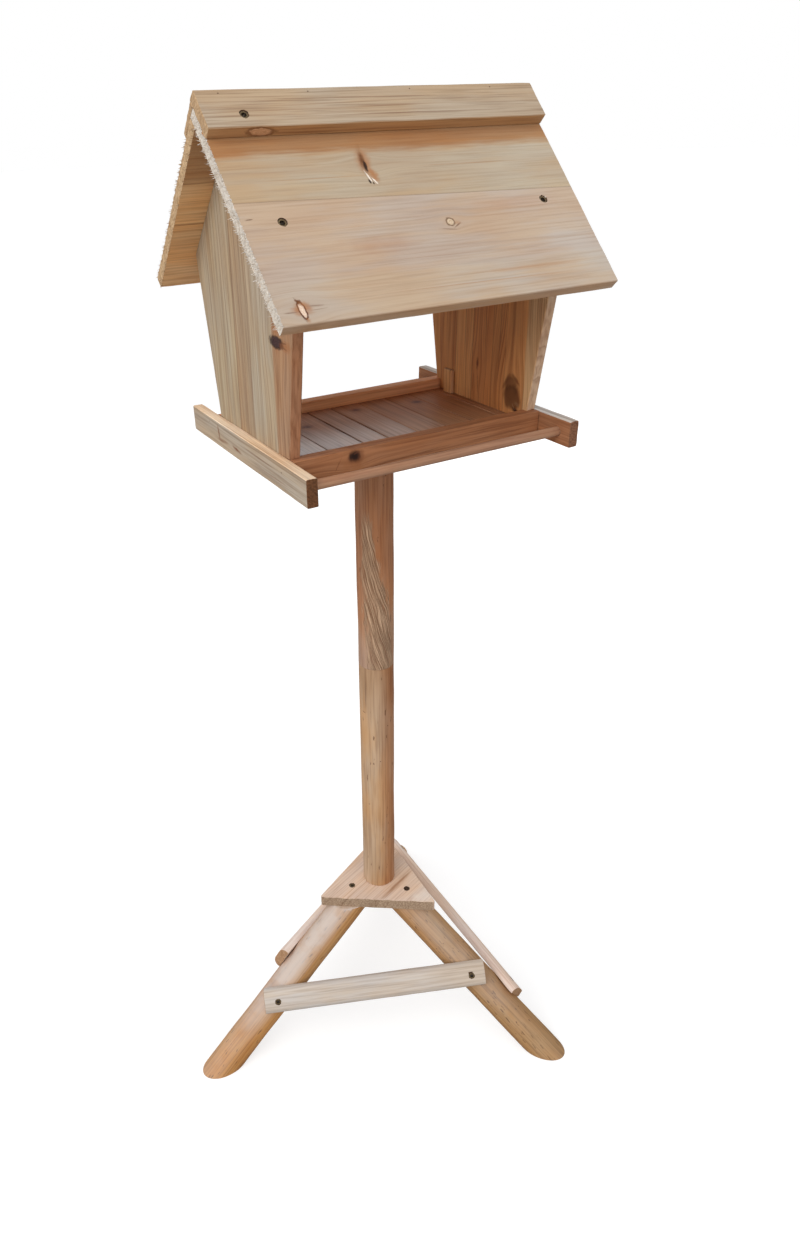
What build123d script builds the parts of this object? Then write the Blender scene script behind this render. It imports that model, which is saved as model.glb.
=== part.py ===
import os
from math import cos, radians, sin, sqrt

from build123d import *

# Sizes in millimetres, Z up, X along the ridge, front towards -Y, with the tray's middle over X = Y = 0.
board = 11.5
ease = 0.7
fit_gap = 0.3

rail_top = 919.5
rail_height = 28.0
tray_half_x = 160.0
side_rail_half_y = 145.0
rail_face_y = 94.5
cross_rail_thickness = 14.0
floor_drop = 11.5
floor_joint_shares = [-0.835, -0.599, -0.316, -0.111, 0.135, 0.384, 0.606, 0.848]
tight_joint = 0.6
open_joint = 1.8
open_joint_places = [2, 3]

perch_diameter = 10.0
perch_y = 125.0
perch_drop = 14.5
perch_socket = 6.0

wall_half_low = 86.5
wall_half_shoulder = 115.0
wall_shoulder_rise = 164.0
corner_block_width = 15.0
corner_block_height = 28.0
corner_block_thickness = 5.0
corner_block_y = 57.5

gable_overhang = 20.0
roof_pitch = 45.0
eave_run = 48.5
cap_reach = 23.0
rear_cap_thickness = 6.0

pole_diameter = 45.0
post_x = -3.0
post_y = 3.5
bearer_width = 60.0
post_joint_height = 596.5
plate_top = 222.5
plate_thickness = 17.0
plate_side = 168.0
plate_corner_cut = 3.5
plate_turn = 176.4

leg_centre_x = -9.0
leg_centre_y = 3.5
leg_turns = [183.5, 303.5, 52.0]
leg_top_reach = 38.0
leg_foot_reach = 270.5
brace_width = 36.0
brace_thickness = 12.5
brace_round = 10.0
brace_overrun = 20.0
brace_low_along = [179.5, 207.0, 177.0]
brace_high_along = [149.5, 131.0, 124.0]

rail_bottom = rail_top - rail_height
floor_top = rail_top - floor_drop
floor_bottom = floor_top - board
bearer_bottom = floor_bottom - board
rail_inner_x = tray_half_x - board
rail_inner_y = rail_face_y - cross_rail_thickness
wall_inner_x = rail_inner_x - board
shoulder_height = rail_top + wall_shoulder_rise
apex_height = shoulder_height + wall_half_shoulder
roof_half = tray_half_x + gable_overhang
pole_radius = pole_diameter / 2
plate_bottom = plate_top - plate_thickness

pieces = {}


def eased(solid, size=ease):
    """Take the sharp edges off a solid."""
    return chamfer(solid.edges(), size)


def block(x_range, y_range, z_range):
    """Make a straight board from its three ranges."""
    size = [high - low for low, high in (x_range, y_range, z_range)]
    middle = [(high + low) / 2 for low, high in (x_range, y_range, z_range)]
    return eased(Pos(*middle) * Box(*size))


def prism(outline, x_range):
    """Extrude an outline given in Y and Z along X."""
    low, high = x_range
    face = make_face(Polyline([(low, y, z) for y, z in outline], close=True))
    return extrude(face, amount=high - low, dir=(1, 0, 0))


def on_roof(side, down, out):
    """Give the Y and Z of a point by its run down one slope and its height off the underside."""
    pitch = radians(roof_pitch)
    y = side * (down * cos(pitch) + out * sin(pitch))
    return y, apex_height - down * sin(pitch) + out * cos(pitch)


def roof_board(side, down_range, out_range):
    """Make a board lying on one slope of the roof."""
    (top, low), (inner, outer) = down_range, out_range
    outline = [on_roof(side, top, inner), on_roof(side, low, inner)]
    outline += [on_roof(side, low, outer), on_roof(side, top, outer)]
    return eased(prism(outline, (-roof_half, roof_half)))


def gable_wall(x_range):
    """Make a flared wall, notched over the front and rear rails."""
    half_inside = rail_inner_y - fit_gap
    right = [(half_inside, floor_top), (half_inside, rail_top), (wall_half_low, rail_top)]
    right += [(wall_half_shoulder, shoulder_height)]
    left = [(-y, z) for y, z in reversed(right)]
    wall = prism(right + [(0, apex_height)] + left, x_range)
    flared = [e for e in wall.edges() if e.length > wall_half_shoulder]
    return chamfer(flared, ease)


def side_rail(x_range, socket_from):
    """Make a side rail with a blind socket for each perch."""
    rail = block(x_range, (-side_rail_half_y, side_rail_half_y), (rail_bottom, rail_top))
    socket = Rot(0, 90, 0) * Cylinder(perch_diameter / 2 + fit_gap / 2, 2 * perch_socket)
    for side in (-1, 1):
        rail -= Pos(socket_from, side * perch_y, rail_top - perch_drop) * socket
    return rail


def pole(low, high):
    """Make an upright length of the post."""
    middle = (low + high) / 2
    upright = Pos(post_x, post_y, middle) * Cylinder(pole_radius, high - low)
    return eased(upright)


def leg_line(number):
    """Give the top and bottom centres of one leg's axis."""
    turn = radians(leg_turns[number])
    centre, outward = Vector(leg_centre_x, leg_centre_y, 0), Vector(cos(turn), sin(turn), 0)
    top = centre + outward * leg_top_reach + Vector(0, 0, plate_bottom)
    return top, centre + outward * leg_foot_reach


def leg(number):
    """Make one round leg, cut level under the plate and at the ground."""
    top, foot = leg_line(number)
    run = foot - top
    middle = (top + foot) * (1 / 2)
    rod = Plane(origin=middle, z_dir=run) * Cylinder(pole_radius, 2 * run.length)
    slab = Pos(middle.X, middle.Y, plate_bottom / 2) * Box(2 * run.length, 2 * run.length, plate_bottom)
    return eased(rod & slab)


def brace(number):
    """Make one round-backed brace, flat side against two neighbouring legs."""
    after = (number + 1) % 3
    (top_a, foot_a), (top_b, foot_b) = leg_line(number), leg_line(after)
    run_a, run_b = (foot_a - top_a).normalized(), (foot_b - top_b).normalized()
    out = run_a.cross(run_b).normalized()
    out = out if out.Z > 0 else out * -1
    low = top_a + run_a * brace_low_along[number] + out * pole_radius
    high = top_b + run_b * brace_high_along[number] + out * pole_radius
    along = (high - low).normalized()
    across = out.cross(along)
    section = Pos(0, brace_thickness / 2) * Rectangle(brace_width, brace_thickness)
    section = fillet(section.vertices().sort_by(Axis.Y)[-2:], brace_round)
    plane = Plane(origin=low - along * brace_overrun, x_dir=across, z_dir=along)
    return extrude(plane * section, amount=(high - low).length + 2 * brace_overrun)


# The tray
for name, side in (("left", -1), ("right", 1)):
    rail_x = sorted((side * rail_inner_x, side * tray_half_x))
    pieces[name + "_side_rail"] = side_rail(rail_x, side * rail_inner_x)
    wall_x = sorted((side * wall_inner_x, side * rail_inner_x))
    pieces[name + "_gable_wall"] = gable_wall(wall_x)
    block_x = sorted((side * (wall_inner_x - corner_block_thickness), side * wall_inner_x))
    block_y = (corner_block_y - corner_block_width / 2, corner_block_y + corner_block_width / 2)
    block_z = (floor_top, floor_top + corner_block_height)
    pieces[name + "_corner_block"] = block(block_x, block_y, block_z)

for name, side in (("front", -1), ("rear", 1)):
    rail_y = sorted((side * rail_inner_y, side * rail_face_y))
    pieces[name + "_rail"] = block((-rail_inner_x, rail_inner_x), rail_y, (rail_bottom, rail_top))
    perch = Rot(0, 90, 0) * Cylinder(perch_diameter / 2, 2 * (rail_inner_x + perch_socket))
    pieces[name + "_perch"] = Pos(0, side * perch_y, rail_top - perch_drop) * eased(perch)

floor_joints = [share * rail_inner_x for share in floor_joint_shares]
joint_widths = [open_joint if i in open_joint_places else tight_joint for i in range(len(floor_joints))]
joint_halves = [width / 2 for width in joint_widths]
starts = [-rail_inner_x] + [x + half for x, half in zip(floor_joints, joint_halves)]
ends = [x - half for x, half in zip(floor_joints, joint_halves)] + [rail_inner_x]
for number, (start, end) in enumerate(zip(starts, ends), 1):
    floor = block((start, end), (-rail_inner_y, rail_inner_y), (floor_bottom, floor_top))
    pieces["floor_board_" + str(number)] = floor
bearer_y = (-bearer_width / 2, bearer_width / 2)
pieces["floor_bearer"] = block((-wall_inner_x, wall_inner_x), bearer_y, (bearer_bottom, floor_bottom))

# The roof, the front board and front cap running over the rear ones
slope = wall_half_shoulder / cos(radians(roof_pitch)) + eave_run
pieces["front_roof_board"] = roof_board(-1, (-board, slope), (0, board))
pieces["rear_roof_board"] = roof_board(1, (0, slope), (0, board))
pieces["front_ridge_cap"] = roof_board(-1, (-board - rear_cap_thickness, cap_reach), (board, 2 * board))
pieces["rear_ridge_cap"] = roof_board(1, (-board, cap_reach), (board, board + rear_cap_thickness))

# The stand
pieces["lower_post"] = pole(plate_top, post_joint_height)
pieces["upper_post"] = pole(post_joint_height, bearer_bottom)
triangle = Rot(0, 0, plate_turn) * RegularPolygon(plate_side / sqrt(3), 3)
triangle = chamfer(triangle.vertices(), plate_corner_cut)
pieces["stand_plate"] = eased(Pos(post_x, post_y, plate_bottom) * extrude(triangle, amount=plate_thickness))
for number, name in enumerate(("left", "right", "rear")):
    pieces[name + "_leg"] = leg(number)
for number, name in enumerate(("front", "right", "left")):
    pieces[name + "_brace"] = eased(brace(number))

# The origin goes to the ground under the middle of the whole outline
boxes = [solid.bounding_box() for solid in pieces.values()]
middle_x = (min(box.min.X for box in boxes) + max(box.max.X for box in boxes)) / 2
middle_y = (min(box.min.Y for box in boxes) + max(box.max.Y for box in boxes)) / 2
os.makedirs("parts", exist_ok=True)
for name, solid in pieces.items():
    export_step(Pos(-middle_x, -middle_y, 0) * solid, "parts/" + name + ".step")
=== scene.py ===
"""Dress the bird table: grain, knots, sawn ends, screws and a plain studio."""

import logging
import math
import random
from dataclasses import dataclass, field, replace
from enum import Enum
from math import cos, radians, sin
from typing import Callable, Optional, Sequence, Union

import bmesh
import bpy
from mathutils import Matrix, Vector, noise


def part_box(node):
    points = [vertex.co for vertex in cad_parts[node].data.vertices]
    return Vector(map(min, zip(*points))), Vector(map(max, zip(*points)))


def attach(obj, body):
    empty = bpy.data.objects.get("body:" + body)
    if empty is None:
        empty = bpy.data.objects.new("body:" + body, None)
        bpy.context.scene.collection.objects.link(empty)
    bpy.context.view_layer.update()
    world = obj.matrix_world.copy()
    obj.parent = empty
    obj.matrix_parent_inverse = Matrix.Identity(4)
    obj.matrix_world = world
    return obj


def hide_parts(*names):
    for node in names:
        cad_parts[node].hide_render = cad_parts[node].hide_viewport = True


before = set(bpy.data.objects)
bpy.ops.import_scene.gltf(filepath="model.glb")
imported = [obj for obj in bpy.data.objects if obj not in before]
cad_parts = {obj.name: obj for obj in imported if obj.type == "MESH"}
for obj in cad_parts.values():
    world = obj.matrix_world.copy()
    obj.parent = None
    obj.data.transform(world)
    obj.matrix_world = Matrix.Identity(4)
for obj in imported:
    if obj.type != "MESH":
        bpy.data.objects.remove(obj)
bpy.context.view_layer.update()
LOG = logging.getLogger("bird_table")

Socket = bpy.types.NodeSocket
Tree = bpy.types.NodeTree
Material = bpy.types.Material
Object = bpy.types.Object
Mesh = bmesh.types.BMesh
Value = Union[float, int, Sequence[float], Socket, "Signal"]
Colour = tuple[float, float, float]
Triple = tuple[float, float, float]
Range = tuple[float, float]
Move = Callable[[Vector, Vector], Vector]

NEUTRAL: Colour = (1.0, 1.0, 1.0)
TO_RIGHT = Vector((1.0, 0.0, 0.0))
TO_REAR = Vector((0.0, 1.0, 0.0))
UP = Vector((0.0, 0.0, 1.0))


def screen(red: int, green: int, blue: int) -> Colour:
    """Turn a screen colour, each part from 0 to 255, into the linear one that shaders take."""
    parts = [part / 255.0 for part in (red, green, blue)]
    return tuple(p / 12.92 if p <= 0.04045 else ((p + 0.055) / 1.055) ** 2.4 for p in parts)


def level_way(turn: float) -> Vector:
    """Give the level direction at an angle from the right, in radians."""
    return Vector((cos(turn), sin(turn), 0.0))


class Stock(Enum):
    """How a piece of wood was cut from the tree."""

    BOARD = "board"
    POLE = "pole"


class KnotKind(Enum):
    """What a knot looks like."""

    DEAD = "dead"
    CHIPPED = "chipped"
    EYE = "eye"
    SWIRL = "swirl"


@dataclass(frozen=True)
class Knot:
    """One knot, placed in the piece's own along and across lengths in metres."""

    along: float
    across: float
    size: float
    stretch: float = 1.5
    slant: float = 0.0
    kind: KnotKind = KnotKind.DEAD
    on_edge: bool = False
    halo: float = 1.0
    strength: float = 1.0


@dataclass(frozen=True)
class Dash:
    """One streak, crack or stain, placed like a knot, with its half lengths and its turn in degrees."""

    along: float
    across: float
    length: float
    width: float
    turn: float = 0.0
    strength: float = 0.6
    colour: Colour = screen(84, 52, 32)
    soft: float = 0.35
    ragged: float = 0.9


@dataclass(frozen=True)
class Stave:
    """One strip of a panel, from an edge across the grain upwards."""

    edge: float
    tint: Colour
    line: float = 0.25
    slant: float = 0.0
    soft: float = 0.0005


@dataclass(frozen=True)
class Scar:
    """A rough band on a pole where the bark was torn off."""

    top: float
    bottom: float
    start: float
    end: float
    narrow: float
    wide: float


@dataclass(frozen=True)
class WoodFinish:
    """The colours and the cut of one sort of wood."""

    pale: Colour
    dark: Colour
    warm: Colour
    ring_width: float = 0.0055
    wander: float = 0.006
    pith_across: float = 0.02
    pith_depth: float = 0.05
    lines: float = 0.4
    streak: float = 0.3
    fibre: float = 0.4
    cloud: float = 0.5
    blush: float = 0.8
    cool: Colour = (0.99, 1.02, 1.08)
    gold: Colour = (1.03, 0.95, 0.86)
    flecks: float = 0.0
    roughness: float = 0.62
    relief: float = 0.0005
    gloss: float = 0.15
    varnish: float = 0.0
    end_pale: Colour = screen(196, 170, 140)
    end_dark: Colour = screen(140, 100, 70)
    end_fuzz: float = 0.4
    # Tints by facing. The edge tint colours a board's long edges, and on some woods it is painted shade in
    # joints and under eaves. The top lighting tint paints light onto faces that look up. The side lighting
    # tint paints shade onto faces that look one way, or lifts a face out of a painted shade.
    edge_tint: Colour = NEUTRAL
    top_lighting_tint: Colour = NEUTRAL
    side_lighting_tint: Colour = NEUTRAL
    lighting_side_way: Triple = (0.9, -0.3, 0.0)
    lighting_side_range: Range = (0.0, 0.75)
    far_tint: Colour = NEUTRAL
    far_range: Range = (0.0, 1.0)
    # Paler, greyer faces that look up and to the left: sun bleaching and a painted sheen where the light
    # falls
    bleach_and_sheen: float = 0.0
    bleach_and_sheen_colour: Colour = screen(226, 216, 204)
    stock: Stock = Stock.BOARD


@dataclass(frozen=True)
class Lie:
    """Where a piece lies: a point on it, its grain's direction and one across it."""

    origin: Vector
    along: Vector
    across: Vector

    def matrix(self) -> Matrix:
        """Give the matrix from the piece's own lengths to the frame."""
        x_axis = self.along.normalized()
        y_axis = (self.across - x_axis * self.across.dot(x_axis)).normalized()
        turn = Matrix((x_axis, y_axis, x_axis.cross(y_axis))).transposed()
        return Matrix.Translation(self.origin) @ turn.to_4x4()


@dataclass(frozen=True)
class Signal:
    """What a node gives, which formulas take as they take a number."""

    sheet: "NodeSheet"
    socket: Socket

    def __add__(self, other: Value) -> "Signal":
        """Add a value."""
        return self.sheet.math("ADD", self, other)

    def __sub__(self, other: Value) -> "Signal":
        """Take a value away."""
        return self.sheet.math("SUBTRACT", self, other)

    def __mul__(self, other: Value) -> "Signal":
        """Multiply by a value."""
        return self.sheet.math("MULTIPLY", self, other)

    def __truediv__(self, other: Value) -> "Signal":
        """Divide by a value."""
        return self.sheet.math("DIVIDE", self, other)


class NodeSheet:
    """Adds nodes to one node tree and links them."""

    def __init__(self, tree: Tree) -> None:
        """Keep the tree that nodes are added to."""
        self.tree = tree
        self.count = 0

    def node(self, kind: str, **settings: object) -> bpy.types.Node:
        """Add one node and set its properties.

        Args:
            kind: The node's type name.
            **settings: Properties of the node, by name.

        Returns:
            The new node.
        """
        made = self.tree.nodes.new(kind)
        made.location = (200 * (self.count // 6), -180 * (self.count % 6))
        self.count += 1
        for name, value in settings.items():
            setattr(made, name, value)
        return made

    def feed(self, socket: Socket, value: Value) -> None:
        """Link a socket to what a node gives, or set its value."""
        if isinstance(value, Signal):
            value = value.socket
        if isinstance(value, Socket):
            self.tree.links.new(value, socket)
        elif socket.type == "RGBA":
            socket.default_value = (*value, 1.0) if len(value) == 3 else value
        else:
            socket.default_value = value

    def out_of(self, node: bpy.types.Node, name: Union[int, str] = 0) -> Signal:
        """Take one of the things that a node gives."""
        return Signal(self, node.outputs[name])

    def math(self, operation: str, first: Value, second: Value = 0.0, third: Value = 0.0) -> Signal:
        """Add a Math node and give its result."""
        made = self.node("ShaderNodeMath", operation=operation)
        for socket, value in zip(made.inputs, (first, second, third)):
            self.feed(socket, value)
        return self.out_of(made)

    def most(self, first: Value, second: Value) -> Signal:
        """Give the greater of two values."""
        return self.math("MAXIMUM", first, second)

    def length(self, first: Value, second: Value) -> Signal:
        """Give the length of two sides at a right angle."""
        return self.math("SQRT", first * first + second * second)

    def split(self, vector: Value) -> tuple[Signal, Signal, Signal]:
        """Split a vector into its three parts."""
        made = self.node("ShaderNodeSeparateXYZ")
        self.feed(made.inputs[0], vector)
        return self.out_of(made, 0), self.out_of(made, 1), self.out_of(made, 2)

    def join(self, x: Value, y: Value, z: Value) -> Signal:
        """Join three values into a vector."""
        made = self.node("ShaderNodeCombineXYZ")
        for socket, value in zip(made.inputs, (x, y, z)):
            self.feed(socket, value)
        return self.out_of(made)

    def pitched(self, run: Value, across: Value, depth: Value, pitch: Range) -> Signal:
        """Give the point that a noise is read at, by its pitch along the grain and across it."""
        return self.join(run * pitch[0], across * pitch[1], depth * pitch[1])

    def noise(self, vector: Value, scale: float, detail: float = 2.0, name: str = "Fac") -> Signal:
        """Add a noise texture and give its level or its colour."""
        made = self.node("ShaderNodeTexNoise")
        self.feed(made.inputs["Vector"], vector)
        made.inputs["Scale"].default_value = scale
        made.inputs["Detail"].default_value = detail
        return self.out_of(made, name)

    def noises(self, vector: Value, scale: float, detail: float) -> tuple[Signal, Signal]:
        """Add a noise texture and give two levels that vary on their own."""
        made = self.node("ShaderNodeSeparateColor")
        self.feed(made.inputs[0], self.noise(vector, scale, detail, "Color"))
        return self.out_of(made, 0), self.out_of(made, 1)

    def rise(self, value: Value, low: Value, high: Value, start: float = 0.0, end: float = 1.0) -> Signal:
        """Ease a value from one level to another between two limits.

        Args:
            value: What is eased.
            low: Where the rise starts.
            high: Where it ends.
            start: The level below.
            end: The level above.

        Returns:
            The eased value.
        """
        made = self.node("ShaderNodeMapRange", interpolation_type="SMOOTHSTEP")
        names = ("Value", "From Min", "From Max", "To Min", "To Max")
        for name, part in zip(names, (value, low, high, start, end)):
            self.feed(made.inputs[name], part)
        return self.out_of(made)

    def fall(self, value: Value, low: Value, high: Value) -> Signal:
        """Ease a value from one down to nothing between two limits."""
        return self.rise(value, low, high, 1.0, 0.0)

    def mix(self, amount: Value, first: Value, second: Value, blend: str = "MIX") -> Signal:
        """Mix two colours.

        Args:
            amount: How much of the second, from 0 to 1.
            first: The colour below.
            second: The colour on top.
            blend: The way of mixing.

        Returns:
            The mixed colour.
        """
        made = self.node("ShaderNodeMix", data_type="RGBA", blend_type=blend)
        self.feed(made.inputs[0], amount)
        self.feed(made.inputs[6], first)
        self.feed(made.inputs[7], second)
        return self.out_of(made, 2)

    def end(self, shader: bpy.types.Node, kind: str = "ShaderNodeOutputMaterial") -> None:
        """Join a shader to the output."""
        self.feed(self.node(kind).inputs[0], shader.outputs[0])

    def place(self, group: Tree, **inputs: Value) -> dict[str, Signal]:
        """Place a node group with its own values.

        Args:
            group: The group's tree.
            **inputs: Values by input name, with _ for a space.

        Returns:
            What the group gives, by name.
        """
        made = self.node("ShaderNodeGroup", node_tree=group)
        for name, value in inputs.items():
            self.feed(made.inputs[name.replace("_", " ")], value)
        return {each.name: Signal(self, each) for each in made.outputs}


def make_material(name: str) -> tuple[Material, NodeSheet]:
    """Make an empty material and the sheet that fills it."""
    material = bpy.data.materials.new(name)
    material.use_nodes = True
    material.node_tree.nodes.clear()
    return material, NodeSheet(material.node_tree)


def make_object(name: str, mesh: Mesh, *materials: Material) -> Object:
    """Turn a worked mesh into an object of the scene.

    Args:
        name: The object's name.
        mesh: The worked mesh, freed afterwards.
        *materials: Its materials, in the order of their slots.

    Returns:
        The object.
    """
    data = bpy.data.meshes.new(name)
    mesh.to_mesh(data)
    mesh.free()
    for material in materials:
        data.materials.append(material)
    made = bpy.data.objects.new(name, data)
    bpy.context.scene.collection.objects.link(made)
    return made


def bridge(mesh: Mesh, rings: Sequence[Sequence[bmesh.types.BMVert]]) -> None:
    """Join each ring of points to the next one with faces."""
    for first, second in zip(rings, rings[1:]):
        for a in range(len(first)):
            b = (a + 1) % len(first)
            mesh.faces.new((first[a], second[a], second[b], first[b]))


# The middle level of a noise
MIDDLE = 0.5

# How fine the grain's parts are, per metre along the grain and across it
RAGGED_PITCH: Range = (7.0, 150.0)
FIBRE_PITCH: Range = (12.0, 440.0)
STREAK_PITCH: Range = (4.5, 190.0)
CLOUD_PITCH: Range = (9.0, 28.0)


class WoodGroups:
    """The shader node groups that all the wood shares."""

    def __init__(self) -> None:
        """Build every group once."""
        self.grain = self.build_grain()
        self.knot = self.build_knot()
        self.dash = self.build_dash()
        self.stave = self.build_stave()
        self.flecks = self.build_flecks()
        self.scar = self.build_scar()
        self.unroll = self.build_unroll()
        self.sawn = self.build_sawn()

    def start(
        self, name: str, takes: Sequence[str], gives: Sequence[str]
    ) -> tuple[NodeSheet, dict[str, Signal], dict[str, Socket]]:
        """Make an empty group with its sockets.

        Args:
            name: The group's name.
            takes: Input names, of which Vector is a vector and the rest are numbers.
            gives: Output names, named in the same way.

        Returns:
            The sheet, the inputs and the outputs by name.
        """
        tree = bpy.data.node_groups.new(name, "ShaderNodeTree")
        for names, way in ((takes, "INPUT"), (gives, "OUTPUT")):
            for each in names:
                kind = "NodeSocketVector" if each == "Vector" else "NodeSocketFloat"
                tree.interface.new_socket(name=each, in_out=way, socket_type=kind)
        sheet = NodeSheet(tree)
        inward, outward = sheet.node("NodeGroupInput"), sheet.node("NodeGroupOutput")
        into = {each: sheet.out_of(inward, each) for each in takes}
        return sheet, into, {each: outward.inputs[each] for each in gives}

    def build_grain(self) -> Tree:
        """Build the year rings of a log as a board or pole cuts through them.

        Returns:
            The group's tree.
        """
        takes = ("Vector", "Ring Width", "Wander", "Pith Across", "Pith Depth", "Seed")
        sheet, into, out = self.start("grain", takes, ("Late", "Fibre", "Streak", "Cloud", "Tone"))
        x, y, z = sheet.split(into["Vector"])
        seed = into["Seed"]
        slow = sheet.join(x * 0.4 + seed * 3.1, y + seed, z)
        bend, dip = sheet.noises(slow, 9.0, 1.0)
        sway = into["Wander"] * 2.0
        across = y + (bend - MIDDLE) * sway
        depth = z + (dip - MIDDLE) * sway
        reach = sheet.length(across - into["Pith Across"], depth - into["Pith Depth"])
        run = x + seed
        ragged = sheet.noise(sheet.pitched(run, y, z, RAGGED_PITCH), 1.0)
        uneven = sheet.noise(sheet.join(reach * 45.0, seed, 0.0), 1.0, 1.0)
        turn = reach / into["Ring Width"] + (ragged - MIDDLE) * 0.7 + (uneven - MIDDLE) * 4.0
        part = sheet.math("FRACT", turn)
        pick = sheet.node("ShaderNodeTexWhiteNoise", noise_dimensions="1D")
        sheet.feed(pick.inputs["W"], sheet.math("FLOOR", turn) + seed)
        swell = sheet.math("POWER", part, 2.6) * sheet.fall(part, 0.82, 1.0)
        patchy = sheet.join(run * 9.0, across * 40.0, seed)
        faint = sheet.noise(patchy, 1.0)
        bold = sheet.rise(pick.outputs["Value"], 0.0, 1.0, 0.15, 1.3)
        each = bold * sheet.rise(faint, 0.25, 0.65, 0.3, 1.0)
        sheet.feed(out["Late"], swell * each)
        fine = sheet.pitched(run, y, z, FIBRE_PITCH)
        sheet.feed(out["Fibre"], sheet.noise(fine, 1.0, 4.0))
        streak, streak_tone = sheet.noises(sheet.pitched(run, across, depth, STREAK_PITCH), 1.0, 3.0)
        sheet.feed(out["Streak"], streak)
        cloud, cloud_tone = sheet.noises(sheet.pitched(run, across, depth, CLOUD_PITCH), 1.0, 3.0)
        sheet.feed(out["Cloud"], cloud)
        sheet.feed(out["Tone"], sheet.rise(streak_tone * 0.3 + cloud_tone, 0.5, 0.8))
        return sheet.tree

    def build_knot(self) -> Tree:
        """Build a knot: its heart, its dark rim, the stain round it and the grain that bends past it.

        Returns:
            The group's tree.
        """
        takes = ("Vector", "Along", "Across", "Size", "Stretch", "Slant", "Halo")
        sheet, into, out = self.start("knot", takes, ("Vector", "Heart", "Rim", "Stain", "Rings"))
        x, y, z = sheet.split(into["Vector"])
        ragged = sheet.noise(into["Vector"], 260.0, 3.0) - MIDDLE
        off_y = y - into["Across"]
        off_x = x - into["Along"] - off_y * into["Slant"]
        far_x = off_x / (into["Size"] * into["Stretch"])
        far_y = off_y / into["Size"]
        reach = sheet.length(far_x, far_y) + ragged * 0.8
        sheet.feed(out["Heart"], sheet.fall(reach, 0.78, 1.0))
        sheet.feed(out["Rim"], sheet.rise(reach, 0.62, 0.9) * sheet.fall(reach, 0.98, 1.35))
        spread = into["Size"] * into["Halo"]
        half_x, half_y = spread * 3.2, spread * 1.75
        wide = sheet.length(off_x / half_x, off_y / half_y)
        streaks = sheet.noise(sheet.join(x * 40.0, y * 420.0, z), 1.0)
        wide = wide + (ragged * 0.4 + (streaks - MIDDLE) * 0.9)
        sheet.feed(out["Stain"], sheet.fall(wide, 0.2, 1.15))
        turns = reach * 3.2 + ragged
        sheet.feed(out["Rings"], sheet.rise(sheet.math("FRACT", turns), 0.2, 0.9))
        span = into["Size"] * 1.4 + into["Size"] * into["Stretch"] * 0.9
        lean_x, lean_y = off_x / (span * 1.7), off_y / span
        near = lean_x * lean_x + lean_y * lean_y
        pull = sheet.math("EXPONENT", near * -1.0) * 0.8
        sheet.feed(out["Vector"], sheet.join(x, y - off_y * pull, z))
        return sheet.tree

    def build_dash(self) -> Tree:
        """Build a ragged oval mark, as thin as a crack or as round as a stain.

        Returns:
            The group's tree.
        """
        takes = ("Vector", "Along", "Across", "Length", "Width", "Turn", "Soft", "Ragged")
        sheet, into, out = self.start("dash", takes, ("Mask",))
        x, y, _ = sheet.split(into["Vector"])
        off_x, off_y = x - into["Along"], y - into["Across"]
        cosine, sine = sheet.math("COSINE", into["Turn"]), sheet.math("SINE", into["Turn"])
        run = off_x * cosine + off_y * sine
        side = off_y * cosine - off_x * sine
        far_run, far_side = run / into["Length"], side / into["Width"]
        spread = sheet.join(far_run * 2.6, far_side * 1.1, into["Along"] * 97.0)
        ragged = sheet.noise(spread, 1.0, 3.0)
        far = sheet.length(far_run, far_side) + (ragged - MIDDLE) * into["Ragged"]
        sheet.feed(out["Mask"], sheet.fall(far, into["Soft"], 1.0))
        return sheet.tree

    def build_stave(self) -> Tree:
        """Build the edge between two strips of a panel.

        Returns:
            The group's tree.
        """
        sheet, into, out = self.start("stave", ("Vector", "Edge", "Slant", "Soft"), ("Past", "Line"))
        x, y, _ = sheet.split(into["Vector"])
        drift = sheet.noise(sheet.join(x * 9.0, into["Edge"], 0.0), 1.0, 2.0)
        spread = sheet.join(x * 26.0, y * 260.0, 0.0)
        ragged = sheet.noise(spread, 1.0, 3.0)
        off = y - into["Edge"] - x * into["Slant"]
        off = off + (drift - MIDDLE) * (into["Soft"] * 1.2 + 0.0008)
        streaky = off + (ragged - MIDDLE) * (into["Soft"] * 2.0)
        sheet.feed(out["Past"], sheet.rise(streaky, into["Soft"] * -1.0, into["Soft"]))
        sheet.feed(out["Line"], sheet.fall(sheet.math("ABSOLUTE", off), 0.0002, 0.001))
        return sheet.tree

    def build_flecks(self) -> Tree:
        """Build the small dark flecks and scratches of a peeled pole.

        Returns:
            The group's tree.
        """
        sheet, into, out = self.start("flecks", ("Vector", "Amount", "Seed"), ("Mask",))
        x, y, _ = sheet.split(into["Vector"])
        cells = sheet.node("ShaderNodeTexVoronoi")
        loose = sheet.join(x * 160.0, y * 300.0, into["Seed"])
        drift = sheet.noise(loose, 1.0)
        side = y * 310.0 + drift * 0.9
        spread = sheet.join(x * 74.0 + drift * 1.6, side, into["Seed"])
        sheet.feed(cells.inputs["Vector"], spread)
        cells.inputs["Scale"].default_value = 1.0
        pick = sheet.node("ShaderNodeSeparateColor")
        sheet.feed(pick.inputs[0], cells.outputs["Color"])
        size = sheet.rise(pick.outputs[1], 0.0, 1.0, 0.14, 0.40)
        spot = sheet.fall(cells.outputs["Distance"], size * 0.4, size)
        kept = sheet.math("LESS_THAN", pick.outputs[0], into["Amount"])
        sheet.feed(out["Mask"], spot * kept)
        return sheet.tree

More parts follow.
